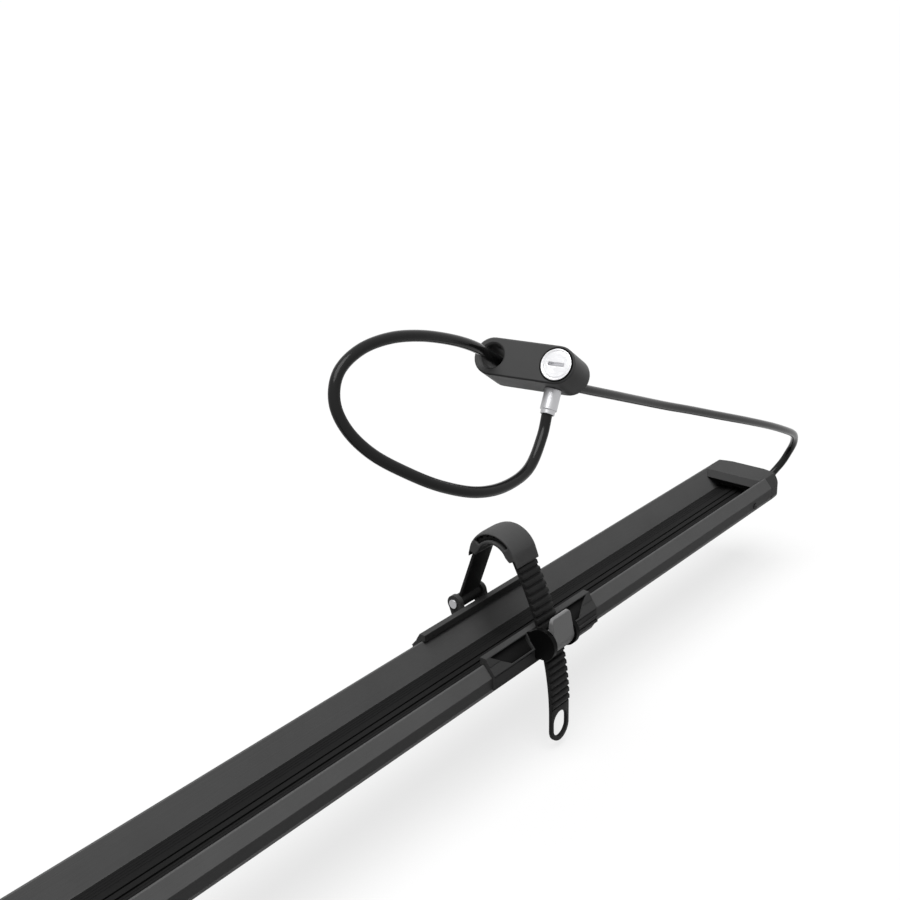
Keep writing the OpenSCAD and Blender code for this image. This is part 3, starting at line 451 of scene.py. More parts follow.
def shade_smooth(piece: bpy.types.Object, degrees: float) -> None:
    """Shade a mesh smooth, with sharp edges over an angle.

    Args:
        piece: Mesh object.
        degrees: Angle from which an edge stays sharp.
    """
    piece.data.polygons.foreach_set("use_smooth", [True] * len(piece.data.polygons))
    piece.data.set_sharp_from_angle(angle=math.radians(degrees))


def apply_modifiers(piece: bpy.types.Object) -> None:
    """Put the result of a piece's modifiers into its mesh.

    Args:
        piece: Mesh object.
    """
    graph = bpy.context.evaluated_depsgraph_get()
    mesh = bpy.data.meshes.new_from_object(piece.evaluated_get(graph))
    piece.modifiers.clear()
    piece.data = mesh


def place_piece(piece: bpy.types.Object, finish: Finish, body: str, *nodes: str) -> bpy.types.Object:
    """Dress a piece, let it ride on a body and stand for CAD nodes.

    Args:
        piece: Mesh or curve object.
        finish: Finish to take.
        body: CAD body that carries the piece.
        *nodes: CAD nodes that the piece stands for.

    Returns:
        The same piece.
    """
    dress(piece, finish)
    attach(piece, body)
    if nodes:
        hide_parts(*nodes)
    LOG.info("%s rides on %s and stands for %s", piece.name, body, ", ".join(nodes) or "no node")
    return piece


def prism(outline: list[tuple[float, float]], start: float, end: float, rim: float,
          name: str) -> bpy.types.Object:
    """Extrude an outline of the side view across the tray and round its edges.

    Args:
        outline: Places along X and Z.
        start: Lowest Y.
        end: Highest Y.
        rim: Width of the rounded edges.
        name: Name of the piece.

    Returns:
        The mesh object.
    """
    rings = [[Vector((x, y, z)) for x, z in outline] for y in (start, end)]
    piece = new_piece(name, [skin(rings)])
    build = bmesh.new()
    build.from_mesh(piece.data)
    sharp = [e for e in build.edges if e.calc_face_angle(0.0) > math.radians(25)]
    bmesh.ops.bevel(build, geom=sharp, offset=rim, segments=2, profile=0.6, affect="EDGES",
                    clamp_overlap=True)
    build.to_mesh(piece.data)
    build.free()
    shade_smooth(piece, 40)
    return piece


@dataclass(frozen=True)
class Studio:
    """Floor, lamps, world and camera."""

    eye: tuple[float, float, float] = (0.3576, -0.48664, 0.4804)
    right: tuple[float, float, float] = (0.63281018, -0.7739114, -0.0247472)
    down: tuple[float, float, float] = (-0.29516726, -0.211558, -0.93172931)
    ahead: tuple[float, float, float] = (0.71584046, 0.59691236, -0.36230936)
    lens: float = 54.57
    sensor: float = 36.0
    nearest: float = 0.01
    floor_gap: float = 0.0005
    floor_half: float = 20.0
    ambient: float = 0.09
    shadow: float = 0.22
    bounce: float = 0.08
    key: float = 3.3
    key_spread: float = math.radians(50)
    key_way: tuple[float, float, float] = (0.3, 0.05, -0.95)

    def set_camera(self) -> None:
        """Put the camera where the photograph was taken from."""
        data = bpy.data.cameras.new("camera")
        data.lens = self.lens
        data.sensor_width = self.sensor
        data.clip_start = self.nearest
        camera = bpy.data.objects.new("camera", data)
        axes = Matrix((self.right, [-v for v in self.down], [-v for v in self.ahead])).transposed()
        camera.matrix_world = Matrix.Translation(self.eye) @ axes.to_4x4()
        bpy.context.scene.collection.objects.link(camera)
        bpy.context.scene.camera = camera

    def seen(self, board: Board) -> bpy.types.NodeSocket:
        """Find the rays that show the background.

        Args:
            board: Node tree of the floor or the world.

        Returns:
            1 for camera, glossy and transmission rays, and 0 for the light that falls on the part.
        """
        path = board.add("ShaderNodeLightPath").outputs
        sharp = board.sum("MAXIMUM", path["Is Glossy Ray"], path["Is Transmission Ray"])
        return board.sum("MAXIMUM", path["Is Camera Ray"], sharp)

    def lay_floor(self) -> None:
        """Lay a plain pale floor just below the part."""
        low = CAD_BOX[0].z - self.floor_gap
        half = self.floor_half
        around = ((-half, -half), (half, -half), (half, half), (-half, half))
        corners = [Vector((x, y, low)) for x, y in around]
        floor = new_piece("floor", [(corners, [(0, 1, 2, 3)])])
        material = bpy.data.materials.new("floor_paint")
        material.use_nodes = True
        board = Board(material.node_tree)
        white = board.add("ShaderNodeEmission", {"Color": WHITE, "Strength": 1.0})
        seen = self.seen(board)
        dim = (self.bounce, self.bounce, self.bounce, 1.0)
        pale = board.add("ShaderNodeBsdfDiffuse", {"Color": board.mix(seen, dim, WHITE)})
        share = board.sum("MULTIPLY", seen, 1.0 - self.shadow)
        blend = board.add("ShaderNodeMixShader", {0: share, 1: pale.outputs[0], 2: white.outputs[0]})
        board.fill(material.node_tree.nodes["Material Output"].inputs["Surface"], blend.outputs[0])
        floor.data.materials.append(material)

    def light_world(self) -> None:
        """Fill the surroundings with even white light."""
        world = bpy.data.worlds.new("studio")
        world.use_nodes = True
        bpy.context.scene.world = world
        board = Board(world.node_tree)
        strength = board.spread(self.seen(board), 0.0, 1.0, self.ambient, 1.0)
        ground = world.node_tree.nodes["Background"]
        ground.inputs["Color"].default_value = WHITE
        board.fill(ground.inputs["Strength"], strength)

    def hang_lamp(self) -> None:
        """Hang one broad key light overhead, tilted a little toward the camera."""
        data = bpy.data.lights.new("overhead", "SUN")
        data.angle = self.key_spread
        data.energy = self.key
        lamp = bpy.data.objects.new("overhead", data)
        lamp.matrix_world = Vector(self.key_way).to_track_quat("-Z", "Y").to_matrix().to_4x4()
        bpy.context.scene.collection.objects.link(lamp)

    def build(self) -> None:
        """Set up the whole studio."""
        bpy.context.scene.view_settings.view_transform = "Standard"
        self.set_camera()
        self.lay_floor()
        self.light_world()
        self.hang_lamp()


@dataclass(frozen=True)
class CableLock:
    """Steel cable from the rear cap, its plug and the lock that the cable runs through."""

    tray_end: float = 1.312
    radius: float = 0.003
    steps: int = 8
    handle_part: int = 6
    body: str = "tray"
    way: tuple[tuple[float, float, float], ...] = (
        (0.014, -0.016, 0.036), (0.026, -0.019, 0.043), (0.033, -0.0235, 0.0515),
        (0.0355, -0.0275, 0.0605), (0.0335, -0.032, 0.0695), (0.0265, -0.036, 0.0785),
        (0.0145, -0.0395, 0.0865), (-0.007, -0.0425, 0.0965), (-0.037, -0.0445, 0.1095),
        (-0.078, -0.0455, 0.126), (-0.123, -0.0455, 0.1435), (-0.164, -0.0455, 0.1595),
        (-0.198, -0.046, 0.1725), (-0.232, -0.048, 0.186), (-0.272, -0.0515, 0.202),
        (-0.312, -0.054, 0.218), (-0.347, -0.054, 0.233), (-0.381, -0.054, 0.249), (-0.403, -0.057, 0.262),
        (-0.420, -0.060, 0.272), (-0.440, -0.061, 0.281), (-0.464, -0.061, 0.289),
        (-0.486, -0.060, 0.293), (-0.506, -0.059, 0.292), (-0.521, -0.059, 0.285),
        (-0.528, -0.062, 0.273), (-0.527, -0.068, 0.260), (-0.519, -0.076, 0.247),
        (-0.505, -0.085, 0.235), (-0.488, -0.092, 0.224), (-0.467, -0.097, 0.215),
        (-0.444, -0.098, 0.211), (-0.422, -0.096, 0.213), (-0.405, -0.092, 0.224),
        (-0.397, -0.090, 0.236))

    def points(self) -> list[Vector]:
        """Give the way in the part's frame."""
        return [Vector((self.tray_end + x, y, z)) for x, y, z in self.way]

    def run_cable(self) -> bpy.types.Object:
        """Draw the covered cable as one smooth curve.

        Returns:
            The curve object.
        """
        curve = bpy.data.curves.new("cable", "CURVE")
        curve.dimensions = "3D"
        curve.bevel_depth = self.radius
        curve.bevel_resolution = 5
        curve.resolution_u = self.steps
        curve.use_fill_caps = True
        spline = curve.splines.new("BEZIER")
        points = self.points()
        spline.bezier_points.add(len(points) - 1)
        last = len(points) - 1
        for i, knot in enumerate(spline.bezier_points):
            before = points[i - 1] if i else 2 * points[0] - points[1]
            after = points[i + 1] if i < last else 2 * points[last] - points[last - 1]
            pull = (after - before) / self.handle_part
            knot.co = points[i]
            knot.handle_left_type = knot.handle_right_type = "FREE"
            knot.handle_left = points[i] - pull
            knot.handle_right = points[i] + pull
        cable = bpy.data.objects.new("cable", curve)
        bpy.context.scene.collection.objects.link(cable)
        return cable

    def length(self) -> float:
        """Measure the smooth route.

        Returns:
            Length of the cable.
        """
        points = self.points()
        ends = [2 * points[0] - points[1], *points, 2 * points[-1] - points[-2]]
        total = 0.0
        for i in range(1, len(points)):
            a, b, c, d = ends[i - 1:i + 3]
            old = b
            for k in range(1, self.steps + 1):
                u = k / self.steps
                new = 0.5 * (2 * b + (c - a) * u + (2 * a - 5 * b + 4 * c - d) * u * u
                             + (3 * b - a - 3 * c + d) * u ** 3)
                total += (new - old).length
                old = new
        return total

    def build(self) -> None:
        """Make the cable and dress the lock."""
        cable = place_piece(self.run_cable(), COVER, self.body, "lock_cable")
        on_cable = [soften("cable_plug", FERRULE, 0.0003), soften("lock_housing", SHELL, 0.0004),
                    soften("lock_bezel", BLACK, 0.0002), soften("lock_barrel", BARREL, 0.0002)]
        soften("cable_gland", BLACK, 0.0004)
        soften("cable_anchor", ZINC, 0.0003)


@dataclass(frozen=True)
class Tray:
    """Hollow tray extrusion with its end caps."""

    die_edge: float = 0.0004
    cap_edge: float = 0.0007
    # Extent, width and thickness of the dark sheet that paints the shade on the channel's floor.
    shade_sheet_start: float = 0.058
    shade_sheet_end: float = 1.3115
    floor: float = 0.033
    rib: float = 0.0012
    groove_half: float = 0.0009
    rib_half: float = 0.004
    shade_sheet_half: float = 0.0146
    shade_sheet_thick: float = 0.0003
    lines: int = 5
    air: float = 0.00002

    def shade_sheet_outline(self) -> list[tuple[float, float]]:
        """Draw the painted-shade sheet across the tray, over its top from side to side and back below.

        Returns:
            Places along Y and Z.
        """
        air = self.air
        low, thick = self.floor + air, self.shade_sheet_thick
        inner, outer = self.groove_half - thick, self.rib_half + thick
        top = [(inner, low + thick), (inner, low + self.rib + thick), (outer, low + self.rib + thick),
               (outer, low + thick)]
        step = (self.shade_sheet_half - outer - thick) / self.lines
        for i in range(self.lines):
            start = outer + thick + i * step
            top += [(start, low + thick), (start + 0.1 * step, low + 2 * thick),
                    (start + 0.7 * step, low + 2 * thick), (start + 0.8 * step, low + thick)]
        top.append((self.shade_sheet_half, low + thick))
        under = [(self.shade_sheet_half, low), (self.rib_half + air, low), (self.rib_half + air, low + self.rib),
                 (self.groove_half - air, low + self.rib), (self.groove_half - air, low)]
        far_top = [(-y, z) for y, z in reversed(top)]
        far_under = [(-y, z) for y, z in reversed(under)]
        return far_top + top + under + far_under

    def lay_shade_sheet(self) -> bpy.types.Object:
        """Make the ribbed near-black sheet that lies on the channel's floor, as painted shade for the
        shadowed channel.

        Returns:
            The mesh object.
        """
        outline = self.shade_sheet_outline()
        rings = [[Vector((x, y, z)) for y, z in outline] for x in (self.shade_sheet_start, self.shade_sheet_end)]
        mat = new_piece("channel_shade_sheet", [skin(rings)])
        shade_smooth(mat, 30)
        return mat

    def build(self) -> None:
        """Dress the tray, its caps and their screws, and lay the near-black sheet that paints shade on the
        channel's floor.
        """
        # Near-black sheet on the channel's floor: painted shade for the deep, shadowed channel.
        place_piece(self.lay_shade_sheet(), PAINTED_SHADE, "tray")
        soften("tray_rail", ANODISED, self.die_edge)
        soften("rear_end_cap", CAP, self.cap_edge, 3)
        soften("front_end_cap", CAP, self.cap_edge, 3)
        soften("end_cap_screws", DARK_SCREW, 0.0002)


@dataclass(frozen=True)
class StrapLine:
    """Centre line of the wheel strap, drawn across the tray and measured from the top of its arch."""

    arch: tuple[float, float] = (0.0022, 0.094)
    arch_r: float = 0.0156
    near_lean: float = math.radians(27)
    far_lean: float = math.radians(20)
    bend_r: float = 0.2
    tail_y: float = -0.0425
    tail_z: float = -0.028
    eye_z: float = 0.055

    def near_arc(self) -> float:
        """Length of the arch on the buckle side."""
        return self.arch_r * (math.pi / 2 - self.near_lean)

    def far_arc(self) -> float:
        """Length of the arch on the far side."""
        return self.arch_r * (math.pi / 2 - self.far_lean)

    def near_start(self) -> Vector:
        """Where the arch meets the straight run on the buckle side."""
        out = Vector((-math.cos(self.near_lean), math.sin(self.near_lean)))
        return Vector(self.arch) + self.arch_r * out

    def far_start(self) -> Vector:
        """Where the arch meets the straight run on the far side."""
        out = Vector((math.cos(self.far_lean), math.sin(self.far_lean)))
        return Vector(self.arch) + self.arch_r * out

    def bend_cut(self) -> float:
        """Length that the bend takes off the straight runs beside it."""
        return self.bend_r * math.tan(self.near_lean / 2)

    def side_run(self) -> float:
        """Length of the straight run from the arch to the bend."""
        return (self.near_start().x - self.tail_y) / math.sin(self.near_lean) - self.bend_cut()

    def bend_low(self) -> float:
        """Height of the bend's lower end."""
        drop = (self.side_run() + self.bend_cut()) * math.cos(self.near_lean)
        return self.near_start().y - drop - self.bend_cut()

    def bend_run(self) -> float:
        """Length of the bend."""
        return self.bend_r * self.near_lean

    def end(self) -> float:
        """Distance from the top of the arch to the tail's end."""
        return self.near_arc() + self.side_run() + self.bend_run() + self.bend_low() - self.tail_z

    def eye_run(self) -> float:
        """Distance from the arch's far end to the eye."""
        return (self.far_start().y - self.eye_z) / math.cos(self.far_lean)

    def eye(self) -> Vector:
        """Middle of the eye."""
        way = Vector((math.sin(self.far_lean), -math.cos(self.far_lean)))
        return self.far_start() + self.eye_run() * way

    def at(self, s: float) -> tuple[Vector, Vector]:
        """Find a place on the line.

        Args:
            s: Distance from the top of the arch, positive on the buckle side.

        Returns:
            The place and the outward direction, both across the tray.
        """
        if s < -self.far_arc():
            out = Vector((math.cos(self.far_lean), math.sin(self.far_lean)))
            way = Vector((math.sin(self.far_lean), -math.cos(self.far_lean)))
            return self.far_start() + (-s - self.far_arc()) * way, out
        if s <= self.near_arc():
            turn = math.pi / 2 + s / self.arch_r
            out = Vector((math.cos(turn), math.sin(turn)))
            return Vector(self.arch) + self.arch_r * out, out
        past = s - self.near_arc()
        if past <= self.side_run():
            out = Vector((-math.cos(self.near_lean), math.sin(self.near_lean)))
            way = Vector((-math.sin(self.near_lean), -math.cos(self.near_lean)))
            return self.near_start() + past * way, out
        past -= self.side_run()
        if past <= self.bend_run():
            turn = self.near_lean - past / self.bend_r
            out = Vector((-math.cos(turn), math.sin(turn)))
            return Vector((self.tail_y + self.bend_r, self.bend_low())) + self.bend_r * out, out
        past -= self.bend_run()
        return Vector((self.tail_y, self.bend_low() - past)), Vector((-1.0, 0.0))

    def point(self, s: float, x: float, off: float) -> Vector:
        """Find a point near the line.

        Args:
            s: Distance from the top of the arch.
            x: Place along the tray.
            off: Distance outward from the line.

        Returns:
            The point in the part's frame.
        """
        place, out = self.at(s)
        spot = place + off * out
        return Vector((x, spot.x, spot.y))


TOOTH_KNOTS = ((0.0, 0.0), (0.07, 0.3), (0.16, 0.88), (0.24, 1.0), (0.44, 1.0), (0.64, 1.0), (0.7, 0.9),
               (0.76, 0.3), (0.82, 0.0), (1.0, 0.0))


@dataclass(frozen=True)
class WheelStrap:
    """Toothed strap with its rim pad, buckle and cradle."""

    line: StrapLine = StrapLine()
    body: str = "strap_holder"
    middle: float = 0.995
    half: float = 0.010
    thick: float = 0.0024
    tooth: float = 0.0009
    groove: float = 0.0005
    pitch: float = 0.005
    rim: float = 0.0005
    gap: float = 0.0003
    finger_half: float = 0.0068
    finger_len: float = 0.018
    finger_up: float = 0.0125
    eye_r: float = 0.0046
    pin_r: float = 0.00206
    pad_half: float = 0.012
    pad_over: float = 0.0023
    pad_under: float = 0.0028
    pad_reach: float = 0.009
    hem: float = 0.014
    inner_cut: float = 0.005
    crown: float = 0.5
    hole_clear: float = 0.002
    eye_rim: float = 0.0006
    pad_lip: float = 0.0006
    pad_steps: int = 40
    hem_steps: int = 12
    hem_lap: float = 0.0008
    hem_least: float = 0.0004
    pad_grid: float = 0.00045
    chamfer_foot: tuple[float, float] = (0.0315, 0.0408)
    chamfer_up: tuple[float, float] = (-0.6402, 0.7682)
    chamfer_out: tuple[float, float] = (0.7682, 0.6402)
    pocket: tuple[tuple[float, float], ...] = (
        (0.01545, 0.00115), (0.03785, 0.00115), (0.0526, 0.0114), (0.01545, 0.0114))
    # Lift and inset of each layer of the painted-shade pocket panels.
    shade_panel_layers: tuple[tuple[float, float], ...] = ((0.00112, 0.0), (0.0014, 0.0), (0.0016, 0.0003))

    def tooth_height(self, s: float) -> float:
        """Height of the teeth at a place.

        Args:
            s: Distance from the top of the arch.

        Returns:
            Height above the strap's plain face, or below it in a groove between two teeth.
        """
        first = -self.line.far_arc()
        clear = self.finger_up + self.finger_len / 2 + self.hole_clear
        count = math.floor((self.line.end() - clear - first) / self.pitch)
        turn = (s - first) / self.pitch
        if turn < 0 or turn >= count:
            return 0.0
        share = turn % 1.0
        for (a, low), (b, high) in zip(TOOTH_KNOTS, TOOTH_KNOTS[1:]):
            if share <= b:
                lift = low + (high - low) * (share - a) / (b - a)
                return lift * (self.tooth + self.groove) - self.groove
        return 0.0

    def strap_ring(self, s: float, half: float) -> Ring:
        """Outline of the strap at one place.

        Args:
            s: Distance from the top of the arch.
            half: Half width there.

        Returns:
            The ring of points.
        """
        low, high, tall = -self.thick / 2, self.thick / 2, self.tooth_height(s)
        rim = min(self.rim, half / 3)
        side = [(half - rim, low), (half - 0.3 * rim, low + 0.3 * rim), (half, low + rim),
                (half, high - rim + 0.4 * tall), (half - 0.3 * rim, high - 0.3 * rim + 0.85 * tall),
                (half - rim, high + tall), (half / 2, high + tall)]
        flipped = [(-x, off) for x, off in reversed(side)]
        outline = [*side, (0.0, high + tall), *flipped, (0.0, low)]
        return [self.line.point(s, self.middle + x, off) for x, off in outline]

    def stations(self) -> list[tuple[float, float]]:
        """List the places along the strap that its mesh has rings at.

        Returns:
            Distance from the top of the arch and half width at each.
        """
        first, end = -self.line.far_arc(), self.line.end()
        marks = [first - self.line.eye_run() * k / 8 for k in range(8, 0, -1)]
        count = math.floor((end - first) / self.pitch)
        marks += [first + self.pitch * (i + share) for i in range(count) for share, _ in TOOTH_KNOTS[:-1]]
        marks = [s for s in marks if s < end - self.half - 0.001]
        round_end = [math.radians(a) for a in range(0, 90, 6)] + [math.radians(88)]
        marks += [end - self.half + self.half * math.sin(a) for a in round_end]
        return [(s, self.half * math.sqrt(max(0.0, 1 - (max(0.0, s - end + self.half) / self.half) ** 2)))
                for s in marks]

    def hole_cutter(self) -> bpy.types.Object:
        """Make the tool that cuts the finger hole with rounded rims.

        Returns:
            The mesh object of the tool.
        """
        deep = self.thick / 2
        steps = ((-deep - 0.0004, 0.0011), (-deep + 0.0001, 0.0005), (-deep + 0.0006, 0.0001), (0.0, 0.0),
                 (deep - 0.0006, 0.0001), (deep - 0.0001, 0.0005), (deep + 0.0004, 0.0011))
        straight = self.finger_len / 2 - self.finger_half
        rings = []
        for off, grow in steps:
            ring = []
            for k in range(40):
                turn = 2 * math.pi * k / 40
                lift = math.copysign(straight, math.sin(turn)) if k % 20 else 0.0
                reach = self.finger_half + grow
                ring.append(Vector((self.middle + reach * math.cos(turn), self.line.tail_y - off,
                                    self.line.tail_z + self.finger_up + lift + reach * math.sin(turn))))
            rings.append(ring)
        return new_piece("hole_cutter", [skin(rings)])

    def eye_shell(self) -> Shell:
        """Make the rolled eye at the strap's far end.

        Returns:
            Points and faces of the hollow roll.
        """
        count, points, faces = 32, [], []
        middle = self.line.eye()
        side, rim = self.half, self.eye_rim
        outline = ((-side + rim, self.eye_r), (-side, self.eye_r - rim), (-side, self.pin_r),
                   (side, self.pin_r), (side, self.eye_r - rim), (side - rim, self.eye_r))
        for k in range(count):
            turn = 2 * math.pi * k / count
            y, z = math.cos(turn), math.sin(turn)
            points += [Vector((self.middle + x, middle.x + r * y, middle.y + r * z)) for x, r in outline]
        width = len(outline)
        for k in range(count):
            here, there = k * width, (k + 1) % count * width
            faces += [(here + j, here + (j + 1) % width, there + (j + 1) % width, there + j)
                      for j in range(width)]
        return points, faces

    def make_strap(self) -> bpy.types.Object:
        """Build the toothed strap.

        Returns:
            The mesh object.
        """
        strap = new_piece("toothed_strap", [skin([self.strap_ring(s, half) for s, half in self.stations()])])
        cutter = self.hole_cutter()
        cut = strap.modifiers.new("finger_hole", "BOOLEAN")
        cut.operation = "DIFFERENCE"
        cut.object = cutter
        apply_modifiers(strap)
        bpy.data.objects.remove(cutter)
        eye = new_piece("strap_eye", [self.eye_shell()])
        build = bmesh.new()
        build.from_mesh(strap.data)
        build.from_mesh(eye.data)
        bmesh.ops.dissolve_degenerate(build, edges=build.edges, dist=SEAL_REACH)
        build.to_mesh(strap.data)
        build.free()
        bpy.data.objects.remove(eye)
        shade_smooth(strap, 38)
        return strap

    def pad_half_at(self, s: float) -> float:
        """Half width of the rim pad, which narrows to the strap's width at its ends.

        Args:
            s: Distance from the top of the arch.

        Returns:
            The half width.
        """
        low = min(self.line.at(self.pad_start())[0].y, self.line.at(self.pad_end())[0].y) - self.pad_under
        top = self.line.arch[1]
        share = min(1.0, max(0.0, (self.line.at(s)[0].y - low) / (top - low)))
        narrow = self.half + self.gap
        return narrow + (self.pad_half - narrow) * share

    def pad_start(self) -> float:
        """Distance of the pad's far end from the top of the arch."""
        return -self.line.far_arc() - self.pad_reach

    def pad_end(self) -> float:
        """Distance of the pad's near end from the top of the arch."""
        return self.line.near_arc() + self.pad_reach

    def past_arch(self, s: float) -> float:
        """How far a place lies beyond the arch, as a share of the pad's reach."""
        return max(0.0, -self.line.far_arc() - s, s - self.line.near_arc()) / self.pad_reach

    def pad_band(self, start: float, end: float, low: float, thick: float,
                 outer: bool) -> Shell:
        """Sweep one layer of the rim pad along the strap.

        Args:
            start: Distance from the top of the arch to its first end.
            end: Distance to its other end.
            low: Offset of the face that lies against the strap.
            thick: Thickness in the middle.
            outer: Whether the layer lies over the strap, with a crowned face.

        Returns:
            Points and faces of the layer.
        """
        steps = self.pad_steps
        across = (-1.0, -0.82, -0.5, 0.0, 0.5, 0.82, 1.0)
        rings = []
        for i in range(steps + 1):
            s = start + (end - start) * i / steps
            half = self.pad_half_at(s)
            fade = min(1.0, self.past_arch(s) * (1.0 if outer else 2.0))
            deep = thick - (thick - self.pad_lip) * fade
            rise, fall = (deep, self.crown) if outer else (-deep, 0.2)
            face = [(x * half, low + rise * (1.0 - fall * x ** 4)) for x in across]
            flat = [(x * half, low) for x in (1.0, 0.0, -1.0)]
            rings.append([self.line.point(s, self.middle + x, off) for x, off in face + flat])
        return skin(rings)

    def pad_hem(self, start: float, end: float, side: int) -> Shell:
        """Join the two layers of the rim pad beside the strap.

        Args:
            start: Distance from the top of the arch to its first end.
            end: Distance to its other end.
            side: 1 for the rear edge of the strap, -1 for its front edge.

        Returns:
            Points and faces of the hem.
        """
        rings = []
        low = -self.thick / 2 - self.gap - self.hem_lap
        high = self.thick / 2 + self.tooth + self.gap + self.hem_lap
        for i in range(self.hem_steps + 1):
            s = start + (end - start) * i / self.hem_steps
            far = max(self.pad_half_at(s), self.half + self.gap + self.hem_least)
            near = self.half + self.gap
            rings.append([self.line.point(s, self.middle + side * x, off)
                          for x, off in ((near, low), (far, low), (far, high), (near, high))])
        return skin(rings)

    def make_pad(self) -> bpy.types.Object:
        """Build the soft rim pad as one moulded sleeve round the strap.

        Returns:
            The mesh object.
        """
        start, end = self.pad_start(), self.pad_end()
        out = self.thick / 2 + self.tooth + self.gap
        into = -self.thick / 2 - self.gap
        shells = [self.pad_band(start, end, out, self.pad_over, True),
                  self.pad_band(start + self.inner_cut, end - self.inner_cut, into, self.pad_under, False)]
        for side in (-1, 1):
            for a, b in ((start + self.inner_cut, start + self.hem), (end - self.hem, end - self.inner_cut)):
                shells.append(self.pad_hem(a, b, side))
        pad = new_piece("rim_pad_sleeve", shells)
        remesh = pad.modifiers.new("mould", "REMESH")
        remesh.mode = "VOXEL"
        remesh.voxel_size = self.pad_grid
        ease = pad.modifiers.new("ease", "SMOOTH")
        ease.factor = 0.5
        ease.iterations = 4
        apply_modifiers(pad)
        shade_smooth(pad, 60)
        return pad

    def make_pocket_shade_panel(self, along: int, side: int) -> bpy.types.Object:
        """Make the near-black panel that lies in one pocket of the cradle, as painted shade for the deep
        pocket.

        Args:
            along: 1 for the pocket behind the strap, -1 for the one ahead of it.
            side: 1 for the far rail, -1 for the rail with the buckle.

        Returns:
            The mesh object.
        """
        up, out = Vector(self.chamfer_up), Vector(self.chamfer_out)
        foot = Vector(self.chamfer_foot)
        inner, lower = self.pocket[0]
        rings = []
        for lift, inset in self.shade_panel_layers:
            ring = []
            for x, v in self.pocket:
                x += inset if x == inner else -inset
                v += inset if v == lower else -inset
                spot = foot + v * up + lift * out
                ring.append(Vector((self.middle + along * x, side * spot.x, spot.y)))
            rings.append(ring)
        names = {(1, 1): "rear_far", (1, -1): "rear_near", (-1, 1): "front_far", (-1, -1): "front_near"}
        panel = new_piece(f"{names[along, side]}_pocket_shade_panel", [skin(rings)])
        shade_smooth(panel, 50)
        return panel

    def build(self) -> None:
        """Make the soft pieces and dress the rest."""
        place_piece(self.make_strap(), STRAP, self.body, "wheel_strap")
        pad = place_piece(self.make_pad(), PAD, self.body, "rim_pad")
        # Near-black panels in the cradle's four pockets: painted shade in those recesses.
        for along in (-1, 1):
            for side in (-1, 1):
                place_piece(self.make_pocket_shade_panel(along, side), PAINTED_SHADE, self.body)
        soften("strap_cradle", CRADLE, 0.0003)
        soften("buckle_frame", BLACK, 0.0006)
        soften("release_lever", LEVER, 0.0007, 3)
        for node in ("strap_anchor_pin", "lever_pin"):
            soften(node, ZINC, 0.0002)
        dress(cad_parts["lever_spring"], ZINC)


@dataclass(frozen=True)
class ForkHead:
    """Casting at the front end that holds the fork's axle."""

    def build(self) -> None:
        """Dress the head and its clamping lever."""
        soften("head_casting", HEAD, 0.0010)
        soften("fork_lever", BLACK, 0.0009, 3)
        soften("thumb_nut", BLACK, 0.0005)
        soften("cam_saddle", HEAD, 0.0004)
        soften("lever_lock", LEVER_KEY, 0.0002)
        for node in ("head_bolts", "head_nut_plates", "cam_pin"):
            soften(node, ZINC, 0.0003)
        for node in ("axle_tube", "fork_plates", "skewer_rod"):
            soften(node, LATHED, 0.0002)


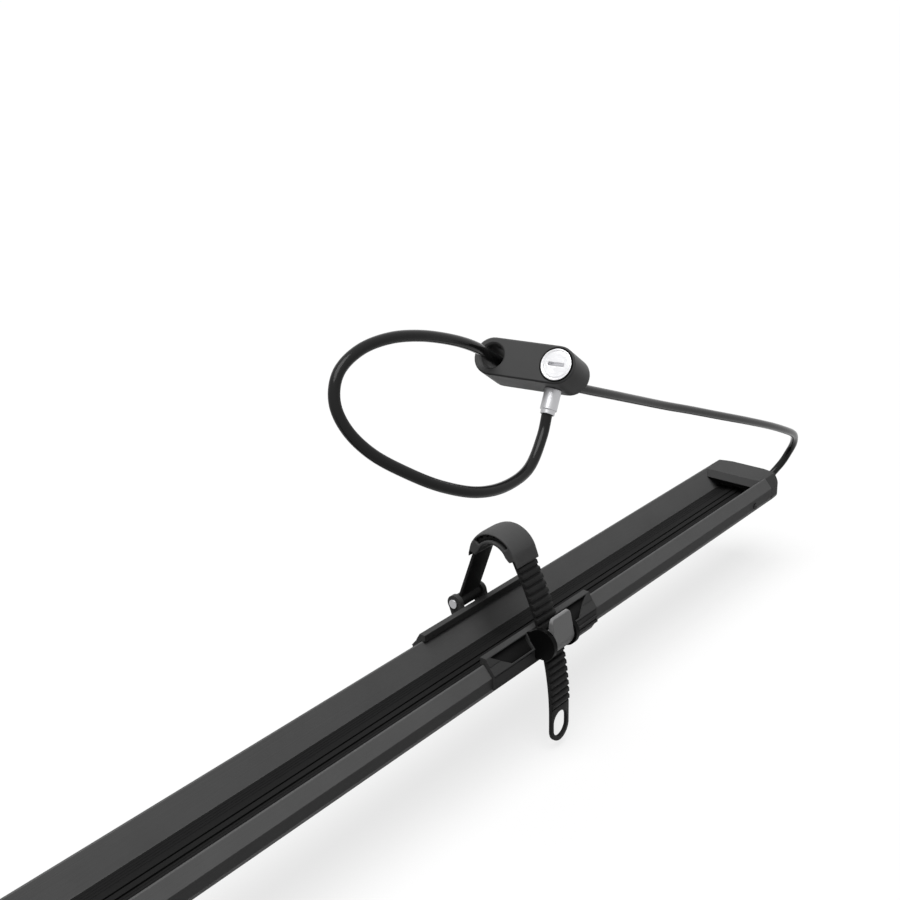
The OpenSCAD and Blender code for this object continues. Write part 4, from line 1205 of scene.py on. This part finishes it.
@dataclass(frozen=True)
class BarClamp:
    """Clamp that holds the tray on one roof bar."""

    side: str
    middle: float
    base_body: str
    bar_half: float = 0.040
    pad_half: float = 0.021
    pad_top: float = 0.00395
    pad_end: float = 0.038
    skin: float = 0.0009
    bar_high: float = 0.028
    groove: float = 0.0011
    groove_gap: float = 0.006
    groove_steps: tuple[float, ...] = (0.0004, 0.0014, 0.0018)
    pad_rim: float = 0.00022
    liner_gap: float = 0.0002
    liner_back: float = 0.00215
    liner_top: float = 0.003
    liner_edge: float = 0.004
    liner_groove: float = 0.0008
    liner_rim: float = 0.00018

    def make_bar_pad(self) -> bpy.types.Object:
        """Build the grooved rubber pad that lies on the bar.

        Returns:
            The mesh object.
        """
        start = self.middle - self.bar_half - self.skin
        stop = self.middle + self.pad_end
        outline = [(stop, self.pad_top), (start, self.pad_top), (start, -self.bar_high),
                   (start + self.skin, -self.bar_high), (start + self.skin, 0.0)]
        flank, floor, width = self.groove_steps
        count = int((stop - start - self.groove_gap) / self.groove_gap)
        for i in range(count):
            x = start + self.groove_gap + i * self.groove_gap
            outline += [(x, 0.0), (x + flank, self.groove), (x + floor, self.groove), (x + width, 0.0)]
        outline.append((stop, 0.0))
        return prism(outline, -self.pad_half, self.pad_half, self.pad_rim, f"{self.side}_bar_pad_rubber")

    def make_liner(self) -> bpy.types.Object:
        """Build the grooved rubber liner of the jaw.

        Returns:
            The mesh object.
        """
        near = self.middle + self.bar_half + self.liner_gap
        far = self.middle + self.bar_half + self.liner_back
        deep = near + self.liner_groove
        flank, floor, width = self.groove_steps
        low, high = -self.bar_high - self.skin, self.liner_top
        outline = [(far, low), (far, high), (near, high)]
        count = int((high - low - self.liner_edge) / self.groove_gap)
        for i in range(count):
            z = high - self.liner_edge - i * self.groove_gap
            outline += [(near, z), (deep, z - flank), (deep, z - floor), (near, z - width)]
        outline.append((near, low))
        return prism(outline, -self.pad_half, self.pad_half, self.liner_rim, f"{self.side}_liner_rubber")

    def build(self) -> None:
        """Make the rubber pieces and dress the rest."""
        place_piece(self.make_bar_pad(), FOOT, self.base_body, f"{self.side}_bar_pad")
        place_piece(self.make_liner(), FOOT, f"{self.side}_jaw", f"{self.side}_jaw_liner")
        soften(f"{self.side}_clamp_base", HEAD, 0.0010)
        soften(f"{self.side}_jaw", HEAD, 0.0010)
        soften(f"{self.side}_knob", BLACK, 0.0008)
        for part in ("t_bolts", "t_nuts", "clamp_stud"):
            soften(f"{self.side}_{part}", ZINC, 0.0003)


def main() -> None:
    """Build the studio and every sub-assembly."""
    logging.basicConfig(level=logging.INFO, format="%(message)s")
    Studio().build()
    CableLock().build()
    Tray().build()
    WheelStrap().build()
    ForkHead().build()
    BarClamp(side="front", middle=0.0, base_body="tray").build()
    BarClamp(side="rear", middle=0.590, base_body="rear_clamp").build()


if __name__ == "__main__":
    main()
